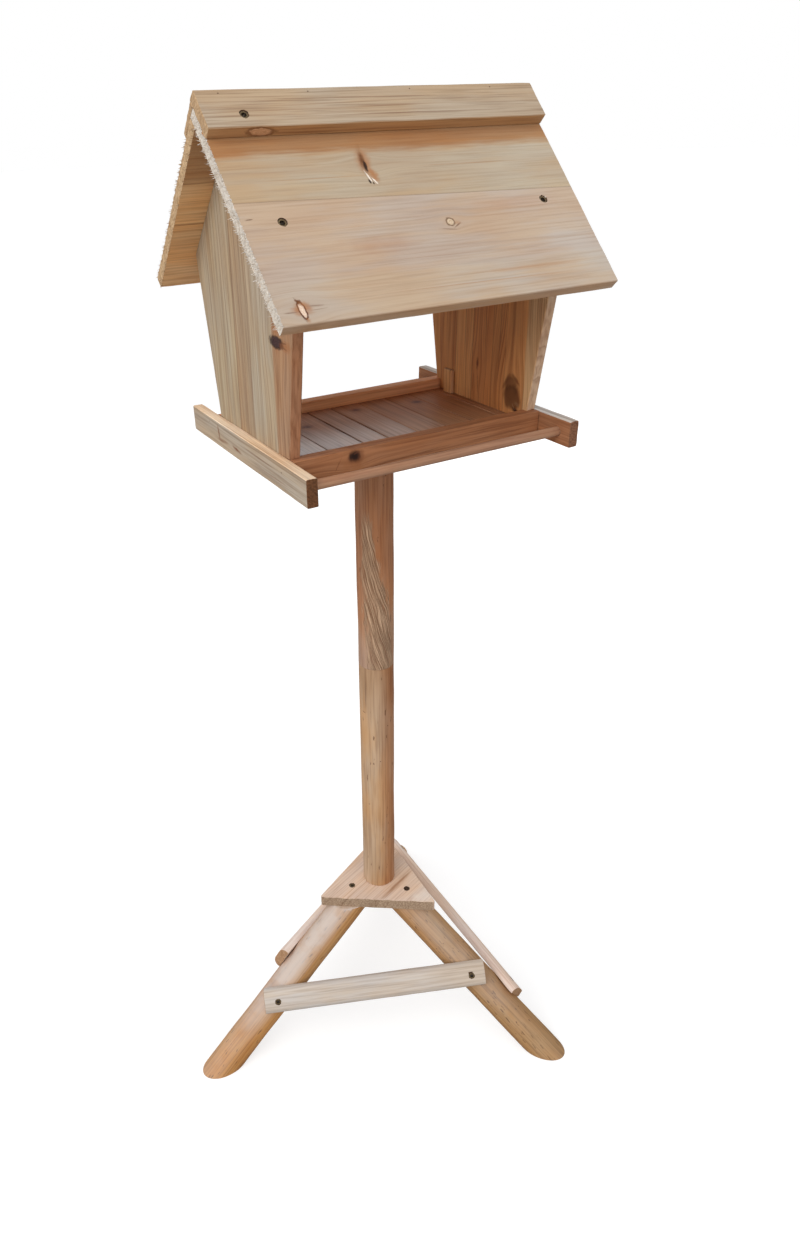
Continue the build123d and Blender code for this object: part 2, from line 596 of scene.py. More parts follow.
    def build_scar(self) -> Tree:
        """Build a rough torn band that runs aslant down a pole.

        Returns:
            The group's tree.
        """
        takes = ("Vector", "Top", "Bottom", "Start", "End", "Narrow", "Wide")
        sheet, into, out = self.start("scar", takes, ("Mask", "Ridge"))
        x, y, _ = sheet.split(into["Vector"])
        down = (into["Top"] - x) / (into["Top"] - into["Bottom"])
        share = sheet.rise(down, 0.0, 1.0)
        middle = into["Start"] + (into["End"] - into["Start"]) * share
        half = into["Narrow"] + (into["Wide"] - into["Narrow"]) * sheet.rise(down, 0.0, 0.7)
        rough = sheet.noise(sheet.join(x * 42.0, y * 260.0, 0.0), 1.0, 3.0)
        off = sheet.math("ABSOLUTE", y - middle) / half
        off = off + (rough - MIDDLE) * 1.5
        inside = sheet.fall(off, 0.55, 1.05) * sheet.rise(down, -0.03, 0.12)
        sheet.feed(out["Mask"], inside)
        lean = y + x * 0.26
        slow = sheet.join(x * 24.0, lean * 60.0, 0.0)
        lean = lean + sheet.noise(slow, 1.0, 1.0) * 0.01
        fine = sheet.join(x * 20.0, lean * 820.0, 0.0)
        ridge = sheet.noise(fine, 1.0, 4.0)
        sheet.feed(out["Ridge"], sheet.rise(ridge, 0.34, 0.66))
        return sheet.tree

    def build_unroll(self) -> Tree:
        """Lay a round pole's skin out flat.

        Returns:
            The group's tree.
        """
        sheet, into, out = self.start("unroll", ("Vector", "Radius"), ("Vector",))
        x, y, z = sheet.split(into["Vector"])
        round_way = sheet.math("ARCTAN2", z, y) * into["Radius"]
        sheet.feed(out["Vector"], sheet.join(x, round_way, sheet.length(y, z) - into["Radius"]))
        return sheet.tree

    def build_sawn(self) -> Tree:
        """Build the fuzz and the saw lines of a rough cut.

        Returns:
            The group's tree.
        """
        sheet, into, out = self.start("sawn", ("Vector",), ("Fuzz", "Lines"))
        _, y, z = sheet.split(into["Vector"])
        sheet.feed(out["Fuzz"], sheet.noise(into["Vector"], 520.0, 4.0))
        tilt = y * 0.8 + z * 0.35
        ragged = sheet.noise(into["Vector"], 150.0, 2.0)
        wave = sheet.math("SINE", tilt * 2600.0 + ragged * 5.0)
        sheet.feed(out["Lines"], sheet.rise(wave, -1.0, 1.0))
        return sheet.tree


@dataclass(frozen=True)
class KnotLook:
    """The colours of one kind of knot and how much of its rim and stain shows."""

    heart: Colour
    ring: Colour
    rim: Colour
    stain: Colour
    rim_part: float
    stain_part: float


KNOT_LOOKS: dict[KnotKind, KnotLook] = {
    KnotKind.DEAD: KnotLook(
        screen(74, 50, 48), screen(54, 35, 33), screen(44, 27, 22), screen(150, 96, 60), 0.8, 0.6
    ),
    KnotKind.CHIPPED: KnotLook(
        screen(240, 216, 194), screen(224, 190, 162), screen(88, 46, 26), screen(166, 104, 60), 0.95, 0.6
    ),
    KnotKind.EYE: KnotLook(
        screen(226, 204, 176), screen(196, 164, 130), screen(104, 76, 50), screen(196, 158, 118), 0.7, 0.4
    ),
    KnotKind.SWIRL: KnotLook(
        screen(216, 166, 124), screen(196, 146, 104), screen(112, 72, 44), screen(150, 100, 66), 0.6, 0.3
    ),
}


PlacedKnot = tuple[Knot, dict[str, Signal]]

FLECK_BROWN = screen(92, 60, 38)
JOINT_BROWN = screen(104, 70, 46)
SCAR_HOLLOW = screen(128, 92, 66)
SCAR_RIDGE = screen(206, 172, 140)

# Between which levels a surface counts as facing a way
EDGE_FACING: Range = (0.6, 0.85)
EDGE_MARK_FACING: Range = (0.6, 0.8)
SKY_FACING: Range = (0.35, 0.65)
END_FACING: Range = (0.55, 0.8)
BLEACH_SHEEN_FACING: Range = (0.3, 1.0)
# The way the bleaching and painted sheen face: up and to the left, where the light comes from
BLEACH_SHEEN_WAY = Vector((-0.4, -0.15, 0.9))

SCAR_SINK = -1.2
STAVE_SHIFT: Triple = (0.31, 0.0, 0.023)
BLURRED_JOINT = 0.002
PRESSED_FROM = 0.35
RING_POLISH = 0.1
VARNISH_ROUGHNESS = 0.22
RELIEF_STRENGTH = 0.85

# Between which levels of a noise each part of the figure shows
CLOUD_LEVELS: Range = (0.32, 0.7)
STREAK_LEVELS: Range = (0.42, 0.78)
FIBRE_LEVELS: Range = (0.4, 0.75)
WEAR_LEVELS: Range = (0.2, 0.6)
FUZZ_LEVELS: Range = (0.3, 0.7)
SPOT_LEVELS: Range = (0.35, 0.7)

# How strongly the parts of the figure colour the wood and shape its relief
LINE_STRENGTH = 1.6
LATE_RELIEF = 0.3
FIBRE_RELIEF = 0.5
FLECK_STRENGTH = 0.75
FLECK_DEPTH = 0.6
RIM_DEPTH = 0.6
SCAR_STRENGTH = 0.85
SCAR_RELIEF = 2.4
END_LINES = 0.9
FUZZ_RELIEF = 1.8
SAW_RELIEF = 0.4

# Where along a leg the bleaching and painted sheen fade, and what is left of them there and where the wood
# is worn
BLEACH_SHEEN_RUN: Range = (0.16, 0.28)
BLEACH_SHEEN_LEFT = 0.3
WEAR_SCALE = 45.0
WEAR_LEFT = 0.6


class WoodCoat:
    """Makes one wood material for one piece."""

    def __init__(self, groups: WoodGroups, finish: WoodFinish, lie: Lie, radius: float = 0.0) -> None:
        """Keep the shared groups, the finish, where the piece lies and a pole's radius."""
        self.groups = groups
        self.finish = finish
        self.lie = lie
        self.radius = radius

    def build(
        self, name: str, seed: float, knots: Sequence[Knot] = (), dashes: Sequence[Dash] = (),
        staves: Sequence[Stave] = (), scar: Optional[Scar] = None,
    ) -> Material:
        """Build the material.

        Args:
            name: The material's name.
            seed: A number that makes this piece's figure its own.
            knots: Knots on the piece.
            dashes: Streaks and marks on the piece.
            staves: The strips of a panel, from the low edge up.
            scar: A rough band, on a pole.

        Returns:
            The material.
        """
        material, self.sheet = make_material(name)
        self.inner = self.coordinates()
        self.skin = self.inner
        if self.finish.stock is Stock.POLE:
            self.skin = self.sheet.place(self.groups.unroll, Vector=self.inner, Radius=self.radius)["Vector"]
        figure, tint, joints = self.panel(staves)
        figure, marks = self.bend(figure, knots)
        late = self.paint(figure, seed, tint, joints)
        self.mark_knots(marks)
        self.mark_dashes(dashes)
        amount = self.finish.flecks
        if amount > 0.0:
            made = self.sheet.place(self.groups.flecks, Vector=self.skin, Amount=amount, Seed=seed)
            self.stamp(made["Mask"], FLECK_BROWN, FLECK_STRENGTH, FLECK_DEPTH)
        if scar is not None:
            self.mark_scar(scar)
        self.age()
        self.cut_ends(late)
        self.surface(late)
        return material

    def coordinates(self) -> Signal:
        """Give the piece's own lengths: along the grain, across it and into it."""
        place = self.lie.matrix()
        object_place = self.sheet.node("ShaderNodeTexCoord")
        self.normal = self.sheet.out_of(object_place, "Normal")
        turned = self.sheet.node("ShaderNodeMapping", vector_type="TEXTURE")
        self.sheet.feed(turned.inputs["Vector"], self.sheet.out_of(object_place, "Object"))
        turned.inputs["Location"].default_value = place.translation
        turned.inputs["Rotation"].default_value = place.to_euler("XYZ")
        return self.sheet.out_of(turned)

    def along(self) -> Signal:
        """Give the length along the grain."""
        return self.sheet.split(self.inner)[0]

    def facing(self, way: Vector, low: float, high: float, both: bool = True) -> Signal:
        """Tell how far the surface faces one way.

        Args:
            way: The way.
            low: Where the mask starts.
            high: Where it is full.
            both: Whether the opposite way counts as well.

        Returns:
            The mask.
        """
        dot = self.sheet.node("ShaderNodeVectorMath", operation="DOT_PRODUCT")
        self.sheet.feed(dot.inputs[0], self.normal)
        dot.inputs[1].default_value = way.normalized()
        value = self.sheet.out_of(dot, "Value")
        return self.sheet.rise(self.sheet.math("ABSOLUTE", value) if both else value, low, high)

    def source(self, on_edge: bool) -> Signal:
        """Give the lengths that a mark is placed by, on a face or on the board's edge."""
        if not on_edge:
            return self.skin
        x, y, z = self.sheet.split(self.skin)
        return self.sheet.join(x, z, y)

    def only(self, mask: Signal, on_edge: bool) -> Signal:
        """Keep a mark on the board's edge to that edge."""
        return mask * self.facing(self.lie.across, *EDGE_MARK_FACING) if on_edge else mask

    def stamp(self, mask: Value, colour: Value, strength: float, depth: float) -> None:
        """Lay a colour over the wood by a mask, and press it in."""
        amount = mask * strength
        self.colour = self.sheet.mix(amount, self.colour, colour)
        if depth:
            self.height = self.height - mask * depth

    def panel(self, staves: Sequence[Stave]) -> tuple[Signal, Optional[Signal], Optional[Signal]]:
        """Part the piece into strips.

        Args:
            staves: The strips, from the low edge up.

        Returns:
            The lengths for the figure, the strips' tint and the lines between them.
        """
        sheet = self.sheet
        figure, tint, joints = self.inner, None, None
        for stave in staves:
            edge = sheet.place(
                self.groups.stave, Vector=self.inner, Edge=stave.edge, Slant=stave.slant, Soft=stave.soft
            )
            past = edge["Past"]
            tint = sheet.mix(past, NEUTRAL if tint is None else tint, stave.tint)
            line = edge["Line"] * stave.line
            joints = line if joints is None else sheet.most(joints, line)
            if stave.soft < BLURRED_JOINT:
                step = sheet.node("ShaderNodeVectorMath", operation="MULTIPLY_ADD")
                sheet.feed(step.inputs[0], sheet.join(past, past, past))
                step.inputs[1].default_value = STAVE_SHIFT
                sheet.feed(step.inputs[2], figure)
                figure = sheet.out_of(step)
        return figure, tint, joints

    def bend(self, figure: Signal, knots: Sequence[Knot]) -> tuple[Signal, list[PlacedKnot]]:
        """Place the knots and bend the figure past them.

        Args:
            figure: The lengths for the figure.
            knots: The knots.

        Returns:
            The bent lengths, and each knot with what its node gives.
        """
        sheet, marks = self.sheet, []
        for knot in knots:
            source = self.source(knot.on_edge)
            made = sheet.place(
                self.groups.knot, Vector=source, Along=knot.along, Across=knot.across, Size=knot.size,
                Stretch=knot.stretch, Slant=knot.slant, Halo=knot.halo,
            )
            marks.append((knot, made))
            if self.finish.stock is Stock.BOARD and not knot.on_edge:
                sway = sheet.node("ShaderNodeVectorMath", operation="SUBTRACT")
                sheet.feed(sway.inputs[0], made["Vector"])
                sheet.feed(sway.inputs[1], source)
                bent = sheet.node("ShaderNodeVectorMath", operation="ADD")
                sheet.feed(bent.inputs[0], figure)
                sheet.feed(bent.inputs[1], sheet.out_of(sway))
                figure = sheet.out_of(bent)
        return figure, marks

    def paint(self, figure: Signal, seed: float, tint: Optional[Signal], joints: Optional[Signal]) -> Signal:
        """Colour the wood by its grain.

        Args:
            figure: The lengths for the figure.
            seed: A number that makes this piece's figure its own.
            tint: The strips' tint.
            joints: The lines between the strips.

        Returns:
            The dark part of the year rings.
        """
        sheet, finish = self.sheet, self.finish
        grain = sheet.place(
            self.groups.grain, Vector=figure, Ring_Width=finish.ring_width, Wander=finish.wander,
            Pith_Across=finish.pith_across, Pith_Depth=finish.pith_depth, Seed=seed,
        )
        late, fibre, streak, cloud = (grain[part] for part in ("Late", "Fibre", "Streak", "Cloud"))
        colour = sheet.mix(sheet.rise(cloud, *CLOUD_LEVELS) * finish.cloud, finish.pale, finish.warm)
        colour = sheet.mix(late * (finish.lines * LINE_STRENGTH), colour, finish.dark)
        colour = sheet.mix(sheet.rise(streak, *STREAK_LEVELS, 0.0, finish.streak), colour, finish.dark)
        tone = sheet.mix(grain["Tone"], finish.cool, finish.gold)
        colour = sheet.mix(finish.blush, colour, tone, "MULTIPLY")
        if tint is not None:
            colour = sheet.mix(1.0, colour, tint, "MULTIPLY")
        if finish.far_tint != NEUTRAL:
            far = sheet.rise(self.along(), *finish.far_range)
            colour = sheet.mix(far, colour, sheet.mix(1.0, colour, finish.far_tint, "MULTIPLY"))
        # Painted light and shade by facing: the edge tint on long edges, the top lighting tint on faces that
        # look up and the side lighting tint on faces that look one way.
        faces = (
            (finish.edge_tint, self.lie.across, EDGE_FACING, True),
            (finish.top_lighting_tint, UP, SKY_FACING, False),
            (finish.side_lighting_tint, Vector(finish.lighting_side_way), finish.lighting_side_range, False),
        )
        for face_tint, way, limits, both in faces:
            if face_tint != NEUTRAL:
                tinted = sheet.mix(1.0, colour, face_tint, "MULTIPLY")
                colour = sheet.mix(self.facing(way, *limits, both), colour, tinted)
        fine = sheet.rise(fibre, *FIBRE_LEVELS, 0.0, finish.fibre)
        colour = sheet.mix(fine, colour, finish.dark, "MULTIPLY")
        if joints is not None:
            colour = sheet.mix(joints, colour, JOINT_BROWN)
        self.colour = colour
        self.height = late * LATE_RELIEF + fibre * FIBRE_RELIEF
        return late

    def mark_knots(self, marks: Sequence[PlacedKnot]) -> None:
        """Colour the knots that show and press their rims in."""
        sheet = self.sheet
        for knot, made in marks:
            if knot.strength > 0.0:
                look, amount = KNOT_LOOKS[knot.kind], knot.strength
                stain = self.only(made["Stain"], knot.on_edge)
                self.stamp(stain, look.stain, look.stain_part * amount, 0.0)
                centre = sheet.mix(made["Rings"], look.heart, look.ring)
                self.stamp(self.only(made["Heart"], knot.on_edge), centre, amount, 0.0)
                rim = self.only(made["Rim"], knot.on_edge)
                self.stamp(rim, look.rim, look.rim_part * amount, RIM_DEPTH)

    def mark_dashes(self, dashes: Sequence[Dash]) -> None:
        """Colour the streaks and press the clear-cut ones in."""
        for dash in dashes:
            made = self.sheet.place(
                self.groups.dash, Vector=self.skin, Along=dash.along, Across=dash.across, Length=dash.length,
                Width=dash.width, Turn=radians(dash.turn), Soft=dash.soft, Ragged=dash.ragged,
            )
            depth = dash.strength if dash.soft >= PRESSED_FROM else 0.0
            self.stamp(made["Mask"], dash.colour, dash.strength, depth)

    def mark_scar(self, scar: Scar) -> None:
        """Roughen the torn band of a pole."""
        sheet = self.sheet
        made = sheet.place(
            self.groups.scar, Vector=self.skin, Top=scar.top, Bottom=scar.bottom, Start=scar.start,
            End=scar.end, Narrow=scar.narrow, Wide=scar.wide,
        )
        mask, ridge = made["Mask"], made["Ridge"]
        torn = sheet.mix(ridge, SCAR_HOLLOW, SCAR_RIDGE)
        self.colour = sheet.mix(mask * SCAR_STRENGTH, self.colour, torn)
        self.height = self.height + mask * (ridge * SCAR_RELIEF + SCAR_SINK)

    def age(self) -> None:
        """Pale what faces up and to the left, less towards the far end: sun bleaching and a painted sheen
        where the light falls.
        """
        if self.finish.bleach_and_sheen > 0.0:
            sheet = self.sheet
            sky = self.facing(BLEACH_SHEEN_WAY, *BLEACH_SHEEN_FACING, False)
            worn = sheet.noise(self.inner, WEAR_SCALE, 3.0)
            kept = sheet.rise(self.along(), *BLEACH_SHEEN_RUN, 1.0, BLEACH_SHEEN_LEFT)
            mask = sky * kept * sheet.rise(worn, *WEAR_LEVELS, WEAR_LEFT, 1.0)
            self.stamp(mask, self.finish.bleach_and_sheen_colour, self.finish.bleach_and_sheen, 0.0)

    def cut_ends(self, late: Signal) -> None:
        """Give the faces across the grain their end grain.

        Args:
            late: The dark part of the year rings.
        """
        sheet, finish = self.sheet, self.finish
        facing = self.facing(self.lie.along, *END_FACING)
        cut = sheet.place(self.groups.sawn, Vector=self.inner)
        ends = sheet.mix(late * END_LINES, finish.end_pale, finish.end_dark)
        rough = sheet.rise(cut["Fuzz"], *FUZZ_LEVELS, 0.0, finish.end_fuzz)
        ends = sheet.mix(rough, ends, finish.end_dark)
        relief = cut["Fuzz"] * FUZZ_RELIEF + cut["Lines"] * SAW_RELIEF
        mixed = sheet.node("ShaderNodeMix", data_type="FLOAT")
        sheet.feed(mixed.inputs[0], facing)
        sheet.feed(mixed.inputs[2], self.height)
        sheet.feed(mixed.inputs[3], relief)
        self.colour, self.height = sheet.mix(facing, self.colour, ends), sheet.out_of(mixed)

    def surface(self, late: Signal) -> None:
        """Join the colour and the relief to the shader."""
        sheet, finish = self.sheet, self.finish
        shader = sheet.node("ShaderNodeBsdfPrincipled")
        sheet.feed(shader.inputs["Base Color"], self.colour)
        rough = sheet.rise(late, 0.0, 1.0, finish.roughness, finish.roughness - RING_POLISH)
        sheet.feed(shader.inputs["Roughness"], rough)
        shader.inputs["Specular IOR Level"].default_value = finish.gloss
        if finish.varnish > 0.0:
            varnish = sheet.rise(self.along(), *finish.far_range, finish.varnish, 0.0)
            sheet.feed(shader.inputs["Coat Weight"], varnish)
            shader.inputs["Coat Roughness"].default_value = VARNISH_ROUGHNESS
        bump = sheet.node("ShaderNodeBump")
        bump.inputs["Strength"].default_value = RELIEF_STRENGTH
        bump.inputs["Distance"].default_value = finish.relief
        sheet.feed(bump.inputs["Height"], self.height)
        sheet.feed(shader.inputs["Normal"], sheet.out_of(bump))
        sheet.end(shader)


def sawn_wood(groups: WoodGroups, name: str, first: Colour, second: Colour, relief: float = 0.0) -> Material:
    """Build rough sawn wood in two colours.

    Args:
        groups: The shared node groups.
        name: The material's name.
        first: The colour under the fuzz.
        second: The colour of the fuzz.
        relief: How far the fuzz stands out.

    Returns:
        The material.
    """
    material, sheet = make_material(name)
    place = sheet.node("ShaderNodeTexCoord").outputs["Object"]
    fuzz = sheet.place(groups.sawn, Vector=place)["Fuzz"]
    shader = sheet.node("ShaderNodeBsdfPrincipled")
    sheet.feed(shader.inputs["Base Color"], sheet.mix(sheet.rise(fuzz, *SPOT_LEVELS), first, second))
    shader.inputs["Roughness"].default_value = 0.9
    if relief > 0.0:
        bump = sheet.node("ShaderNodeBump")
        bump.inputs["Distance"].default_value = relief
        sheet.feed(bump.inputs["Height"], fuzz)
        sheet.feed(shader.inputs["Normal"], bump.outputs[0])
    sheet.end(shader)
    return material


@dataclass
class DenseBody:
    """A CAD piece's solid with a fine grid on it, so that its surface can be worked."""

    node: str
    lie: Lie
    cells: Triple
    weld: float = 1e-6
    flat_angle: float = radians(0.5)
    crease_angle: float = radians(32.0)
    mesh: Mesh = field(init=False)

    def __post_init__(self) -> None:
        """Copy the piece's mesh, join its flat faces and cut them into cells."""
        self.mesh = bmesh.new()
        self.mesh.from_mesh(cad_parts[self.node].data)
        bmesh.ops.remove_doubles(self.mesh, verts=self.mesh.verts, dist=self.weld)
        bmesh.ops.dissolve_limit(
            self.mesh, angle_limit=self.flat_angle, verts=self.mesh.verts, edges=self.mesh.edges
        )
        self.cut()

    def cut(self) -> None:
        """Cut the faces along, across and into the grain at every cell."""
        place = self.lie.matrix()
        back = place.inverted()
        for axis, cell in enumerate(self.cells):
            spots = [(back @ vert.co)[axis] for vert in self.mesh.verts]
            low, high = min(spots), max(spots)
            steps = max(1, round((high - low) / cell))
            normal = place.to_3x3().col[axis]
            for step in range(1, steps):
                spot = Vector()
                spot[axis] = low + (high - low) * step / steps
                bmesh.ops.bisect_plane(
                    self.mesh, geom=self.mesh.verts[:] + self.mesh.edges[:] + self.mesh.faces[:],
                    dist=self.weld, plane_co=place @ spot, plane_no=normal,
                )

    def work(self, move: Move) -> None:
        """Move every point of the surface.

        Args:
            move: Gives a point's shift in the piece's own lengths, from its place and normal there.
        """
        place = self.lie.matrix()
        back = place.inverted()
        turn, turn_back = place.to_3x3(), back.to_3x3()
        self.mesh.normal_update()
        shifts = [turn @ move(back @ vert.co, turn_back @ vert.normal) for vert in self.mesh.verts]
        for vert, shift in zip(self.mesh.verts, shifts):
            vert.co += shift

    def finish(self, name: str, material: Material, slot: str) -> Object:
        """Turn the grid into a piece that stands for the CAD node.

        Args:
            name: The piece's name.
            material: Its material.
            slot: Not used.

        Returns:
            The piece.
        """
        for face in self.mesh.faces:
            face.smooth = True
        for edge in self.mesh.edges:
            edge.smooth = edge.calc_face_angle(0.0) < self.crease_angle
        piece = make_object(name, self.mesh, material)
        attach(piece, "root")
        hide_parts(self.node)
        LOG.info("%s dressed with %d faces", name, len(piece.data.polygons))
        return piece


def dress(node: str, lie: Lie, cells: Triple, move: Move, material: Material, slot: str) -> Object:
    """Work a CAD piece's surface and stand the result in for the piece.

    Args:
        node: The CAD node's name.
        lie: Where the piece lies.
        cells: The grid's steps along, across and into the grain.
        move: Gives a point's shift from its place and normal.
        material: The piece's material.
        slot: Passed on to the finish, which does not use it.

    Returns:
        The dressed piece.
    """
    body = DenseBody(node, lie, cells)
    body.work(move)
    return body.finish(node + "_dressed", material, slot)


def stretched(place: Vector, pitch: Range, seed: float) -> Vector:
    """Give the point that a noise is read at, by its pitch along the grain and across it."""
    along, across = pitch
    return Vector((place.x * along + seed, place.y * across, place.z * across))


@dataclass(frozen=True)
class Sawing:
    """How uneven a piece's faces and its two ends are left by the saw."""

    face: float = 0.00018
    low_end: float = 0.0004
    high_end: float = 0.0004
    edge: float = 0.0003
    seed: float = 0.0
    slow_pitch: Range = (9.0, 30.0)
    fine_pitch: Range = (55.0, 320.0)
    slow_share: float = 1.6
    end_facing: float = 0.5
    face_facing: float = 0.9
    tears: tuple[Range, Range] = ((2.1, 0.35), (0.45, 0.2))
    chips: Range = (0.6, 0.3)

    def shift(self, place: Vector, normal: Vector) -> Vector:
        """Give the shift of one surface point.

        Args:
            place: The point in the piece's own lengths.
            normal: The surface normal there.

        Returns:
            The shift.
        """
        slow = stretched(place, self.slow_pitch, self.seed)
        fine = stretched(place, self.fine_pitch, self.seed)
        shift = normal * (noise.noise(slow) * self.face * self.slow_share + noise.noise(fine) * self.face)
        if abs(normal.x) > self.end_facing:
            end = self.high_end if normal.x > 0.0 else self.low_end
            (pitch, level), (wide_pitch, wide_level) = self.tears
            torn = noise.noise(fine * pitch) - level + noise.noise(fine * wide_pitch) - wide_level
            shift.x += math.copysign(end, normal.x) * torn
        elif max(abs(normal.y), abs(normal.z)) < self.face_facing:
            pitch, level = self.chips
            shift += normal * (noise.noise(fine * pitch) - level) * self.edge
        return shift


@dataclass(frozen=True)
class Peeling:
    """How uneven the peeled skin of a pole is, between its flat ends."""

    swell: float
    slow_pitch: Range
    fine_pitch: Range
    end_facing: float
    grit: float = 0.0002
    seed: float = 0.0

    def on_end(self, normal: Vector) -> bool:
        """Tell whether a point with this normal lies on one of the ends."""
        return abs(normal.x) > self.end_facing

    def shift(self, place: Vector, normal: Vector) -> Vector:
        """Give the shift of one surface point.

        Args:
            place: The point in the piece's own lengths.
            normal: The surface normal there.

        Returns:
            The shift.
        """
        if self.on_end(normal):
            return Vector()
        slow = stretched(place, self.slow_pitch, self.seed)
        fine = stretched(place, self.fine_pitch, self.seed)
        return normal * (noise.noise(slow) * self.swell + noise.noise(fine) * self.grit)


POST_PEELING = Peeling(0.0006, (14.0, 42.0), (40.0, 210.0), 0.6)
LEG_PEELING = Peeling(0.0007, (13.0, 40.0), (38.0, 190.0), 0.4)


class ScrewLook(Enum):
    """How a screw sits in the wood."""

    SUNK = "sunk"
    FLUSH = "flush"
    HOLE = "hole"


@dataclass(frozen=True)
class Spot:
    """One screw's place on a surface, the way out of the wood and its look."""

    place: Vector
    out: Vector
    look: ScrewLook = ScrewLook.SUNK


@dataclass
class Screws:
    """The countersunk screws, sunk into worked pieces."""

    groups: WoodGroups
    head_radius: float = 0.0040
    pocket_radius: float = 0.0043
    depth: float = 0.0022
    flush: float = 0.0003
    sunk_share: float = 0.36
    pocket_sides: int = 28
    pocket_ragged: float = 0.12
    pocket_rings: tuple[Range, ...] = ((0.004, 1.15), (0.0, 1.05), (-0.0006, 0.97))
    pocket_floor: float = 0.94
    wall_from: float = 0.00025
    wall_spread: float = 1.25
    wall_overrun: float = 0.001
    head_sides: int = 32
    head_rings: tuple[Range, ...] = ((0.0012, 0.86), (0.0002, 1.0), (0.0, 0.95))
    arm_share: float = 0.62
    slot_share: float = 0.19
    recess_depth: float = 0.0011
    recess_share: float = 0.8
    first_turn: float = 0.4
    next_turn: float = 0.9
    steel: Material = field(init=False)
    recess_shade: Material = field(init=False)
    torn: Material = field(init=False)
    count: int = 0

    def __post_init__(self) -> None:
        """Make the screw steel, the darker metal in the recess as painted shade, and the torn wood of the
        pocket wall, dark as painted shade.
        """
        self.steel = self.build_steel("screw_steel", screen(124, 104, 72), screen(74, 58, 38), 0.5)
        # The recess and the pocket wall are coloured dark: painted shade in the recess and the pocket
        self.recess_shade = self.build_steel("screw_recess", screen(64, 50, 36), screen(40, 31, 22), 0.2)
        self.torn = sawn_wood(self.groups, "torn_pocket_shade_wood", screen(46, 31, 22), screen(104, 74, 50), 0.0008)

    def build_steel(self, name: str, bright: Colour, dull: Colour, metal: float) -> Material:
        """Build a spotted metal.

        Args:
            name: The material's name.
            bright: The clean colour.
            dull: The colour of the spots.
            metal: How metallic it is.

        Returns:
            The material.
        """
        material, sheet = make_material(name)
        place = sheet.node("ShaderNodeTexCoord").outputs["Object"]
        spots = sheet.noise(place, 900.0, 3.0)
        shader = sheet.node("ShaderNodeBsdfPrincipled")
        sheet.feed(shader.inputs["Base Color"], sheet.mix(sheet.rise(spots, *SPOT_LEVELS), bright, dull))
        sheet.feed(shader.inputs["Roughness"], sheet.rise(spots, 0.3, 0.7, 0.32, 0.6))
        shader.inputs["Metallic"].default_value = metal
        sheet.end(shader)
        return material

    def pocket(self, place: Matrix) -> Object:
        """Make the ragged cone that cuts one pocket.

        Args:
            place: The pocket's frame, Z out of the wood.

        Returns:
            The cutter.
        """
        mesh = bmesh.new()
        rings = []
        for height, radius in (*self.pocket_rings, (-self.depth, self.pocket_floor)):
            ring = []
            drift = Vector((self.count * 3.7, height * 400, 0.0))
            for step in range(self.pocket_sides):
                turn = math.tau * step / self.pocket_sides
                spot = level_way(turn)
                ragged = 1.0 + self.pocket_ragged * noise.noise(spot * 2.3 + drift)
                spot = spot * radius * ragged * self.pocket_radius + Vector((0, 0, height))
                ring.append(mesh.verts.new(place @ spot))
            rings.append(ring)
        bridge(mesh, rings)
        mesh.faces.new(rings[0])
        mesh.faces.new(list(reversed(rings[-1])))
        bmesh.ops.recalc_face_normals(mesh, faces=mesh.faces)
        return make_object("pocket_cutter", mesh)

    def head(self, name: str, place: Matrix, top: float) -> Object:
        """Make one cross-recessed head in its pocket.

        Args:
            name: The piece's name.
            place: The pocket's frame, Z out of the wood.
            top: The height of the head's face.

        Returns:
            The head.
        """
        mesh, sides = bmesh.new(), self.head_sides
        arm, wide = self.head_radius * self.arm_share, self.head_radius * self.slot_share
        turns = [math.tau * step / sides for step in range(sides)]
        rings = []
        for drop, part in self.head_rings:
            reach, z = part * self.head_radius, top - drop
            rings.append([mesh.verts.new((cos(t) * reach, sin(t) * reach, z)) for t in turns])
        bridge(mesh, rings)
        cross = [(wide, wide), (wide, arm), (-wide, arm), (-wide, wide), (-arm, wide), (-arm, -wide)]
        cross += [(-x, -y) for x, y in cross]
        lip = [mesh.verts.new((x, y, top)) for x, y in cross]
        share, floor = self.recess_share, top - self.recess_depth
        low = [mesh.verts.new((x * share, y * share, floor)) for x, y in cross]
        corners = [(a, (a + 1) % len(cross)) for a in range(len(cross))]
        edges = [mesh.edges.new((lip[a], lip[b])) for a, b in corners]
        edges += [mesh.edges.get((rings[-1][a], rings[-1][(a + 1) % sides])) for a in range(sides)]
        bmesh.ops.triangle_fill(mesh, use_beauty=True, edges=edges)
        for face in [f for f in mesh.faces if all(v in lip for v in f.verts)]:
            mesh.faces.remove(face)
        recess = [mesh.faces.new((lip[a], lip[b], low[b], low[a])) for a, b in corners]
        recess.append(mesh.faces.new(low))
        bmesh.ops.recalc_face_normals(mesh, faces=mesh.faces)
        for face in recess:
            face.material_index = 1
        mesh.transform(place)
        piece = make_object(name, mesh, self.steel, self.recess_shade)
        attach(piece, "root")
        return piece

    def sink(self, piece: Object, spots: Sequence[Spot]) -> None:
        """Sink screws into a piece.

        Args:
            piece: The worked piece.
            spots: Where the screws go.
        """
        for spot in spots:
            turn = spot.out.to_track_quat("Z", "Y").to_matrix().to_4x4()
            spin = Matrix.Rotation(self.first_turn + self.count * self.next_turn, 4, "Z")
            place = Matrix.Translation(spot.place) @ turn @ spin
            self.bore(piece, spot, self.pocket(place))
            self.count += 1
            if spot.look is not ScrewLook.HOLE:
                top = -self.flush if spot.look is ScrewLook.FLUSH else -self.depth * self.sunk_share
                self.head(f"screw_{self.count}", place, top)
        LOG.info("%s has %d screws", piece.name, len(spots))

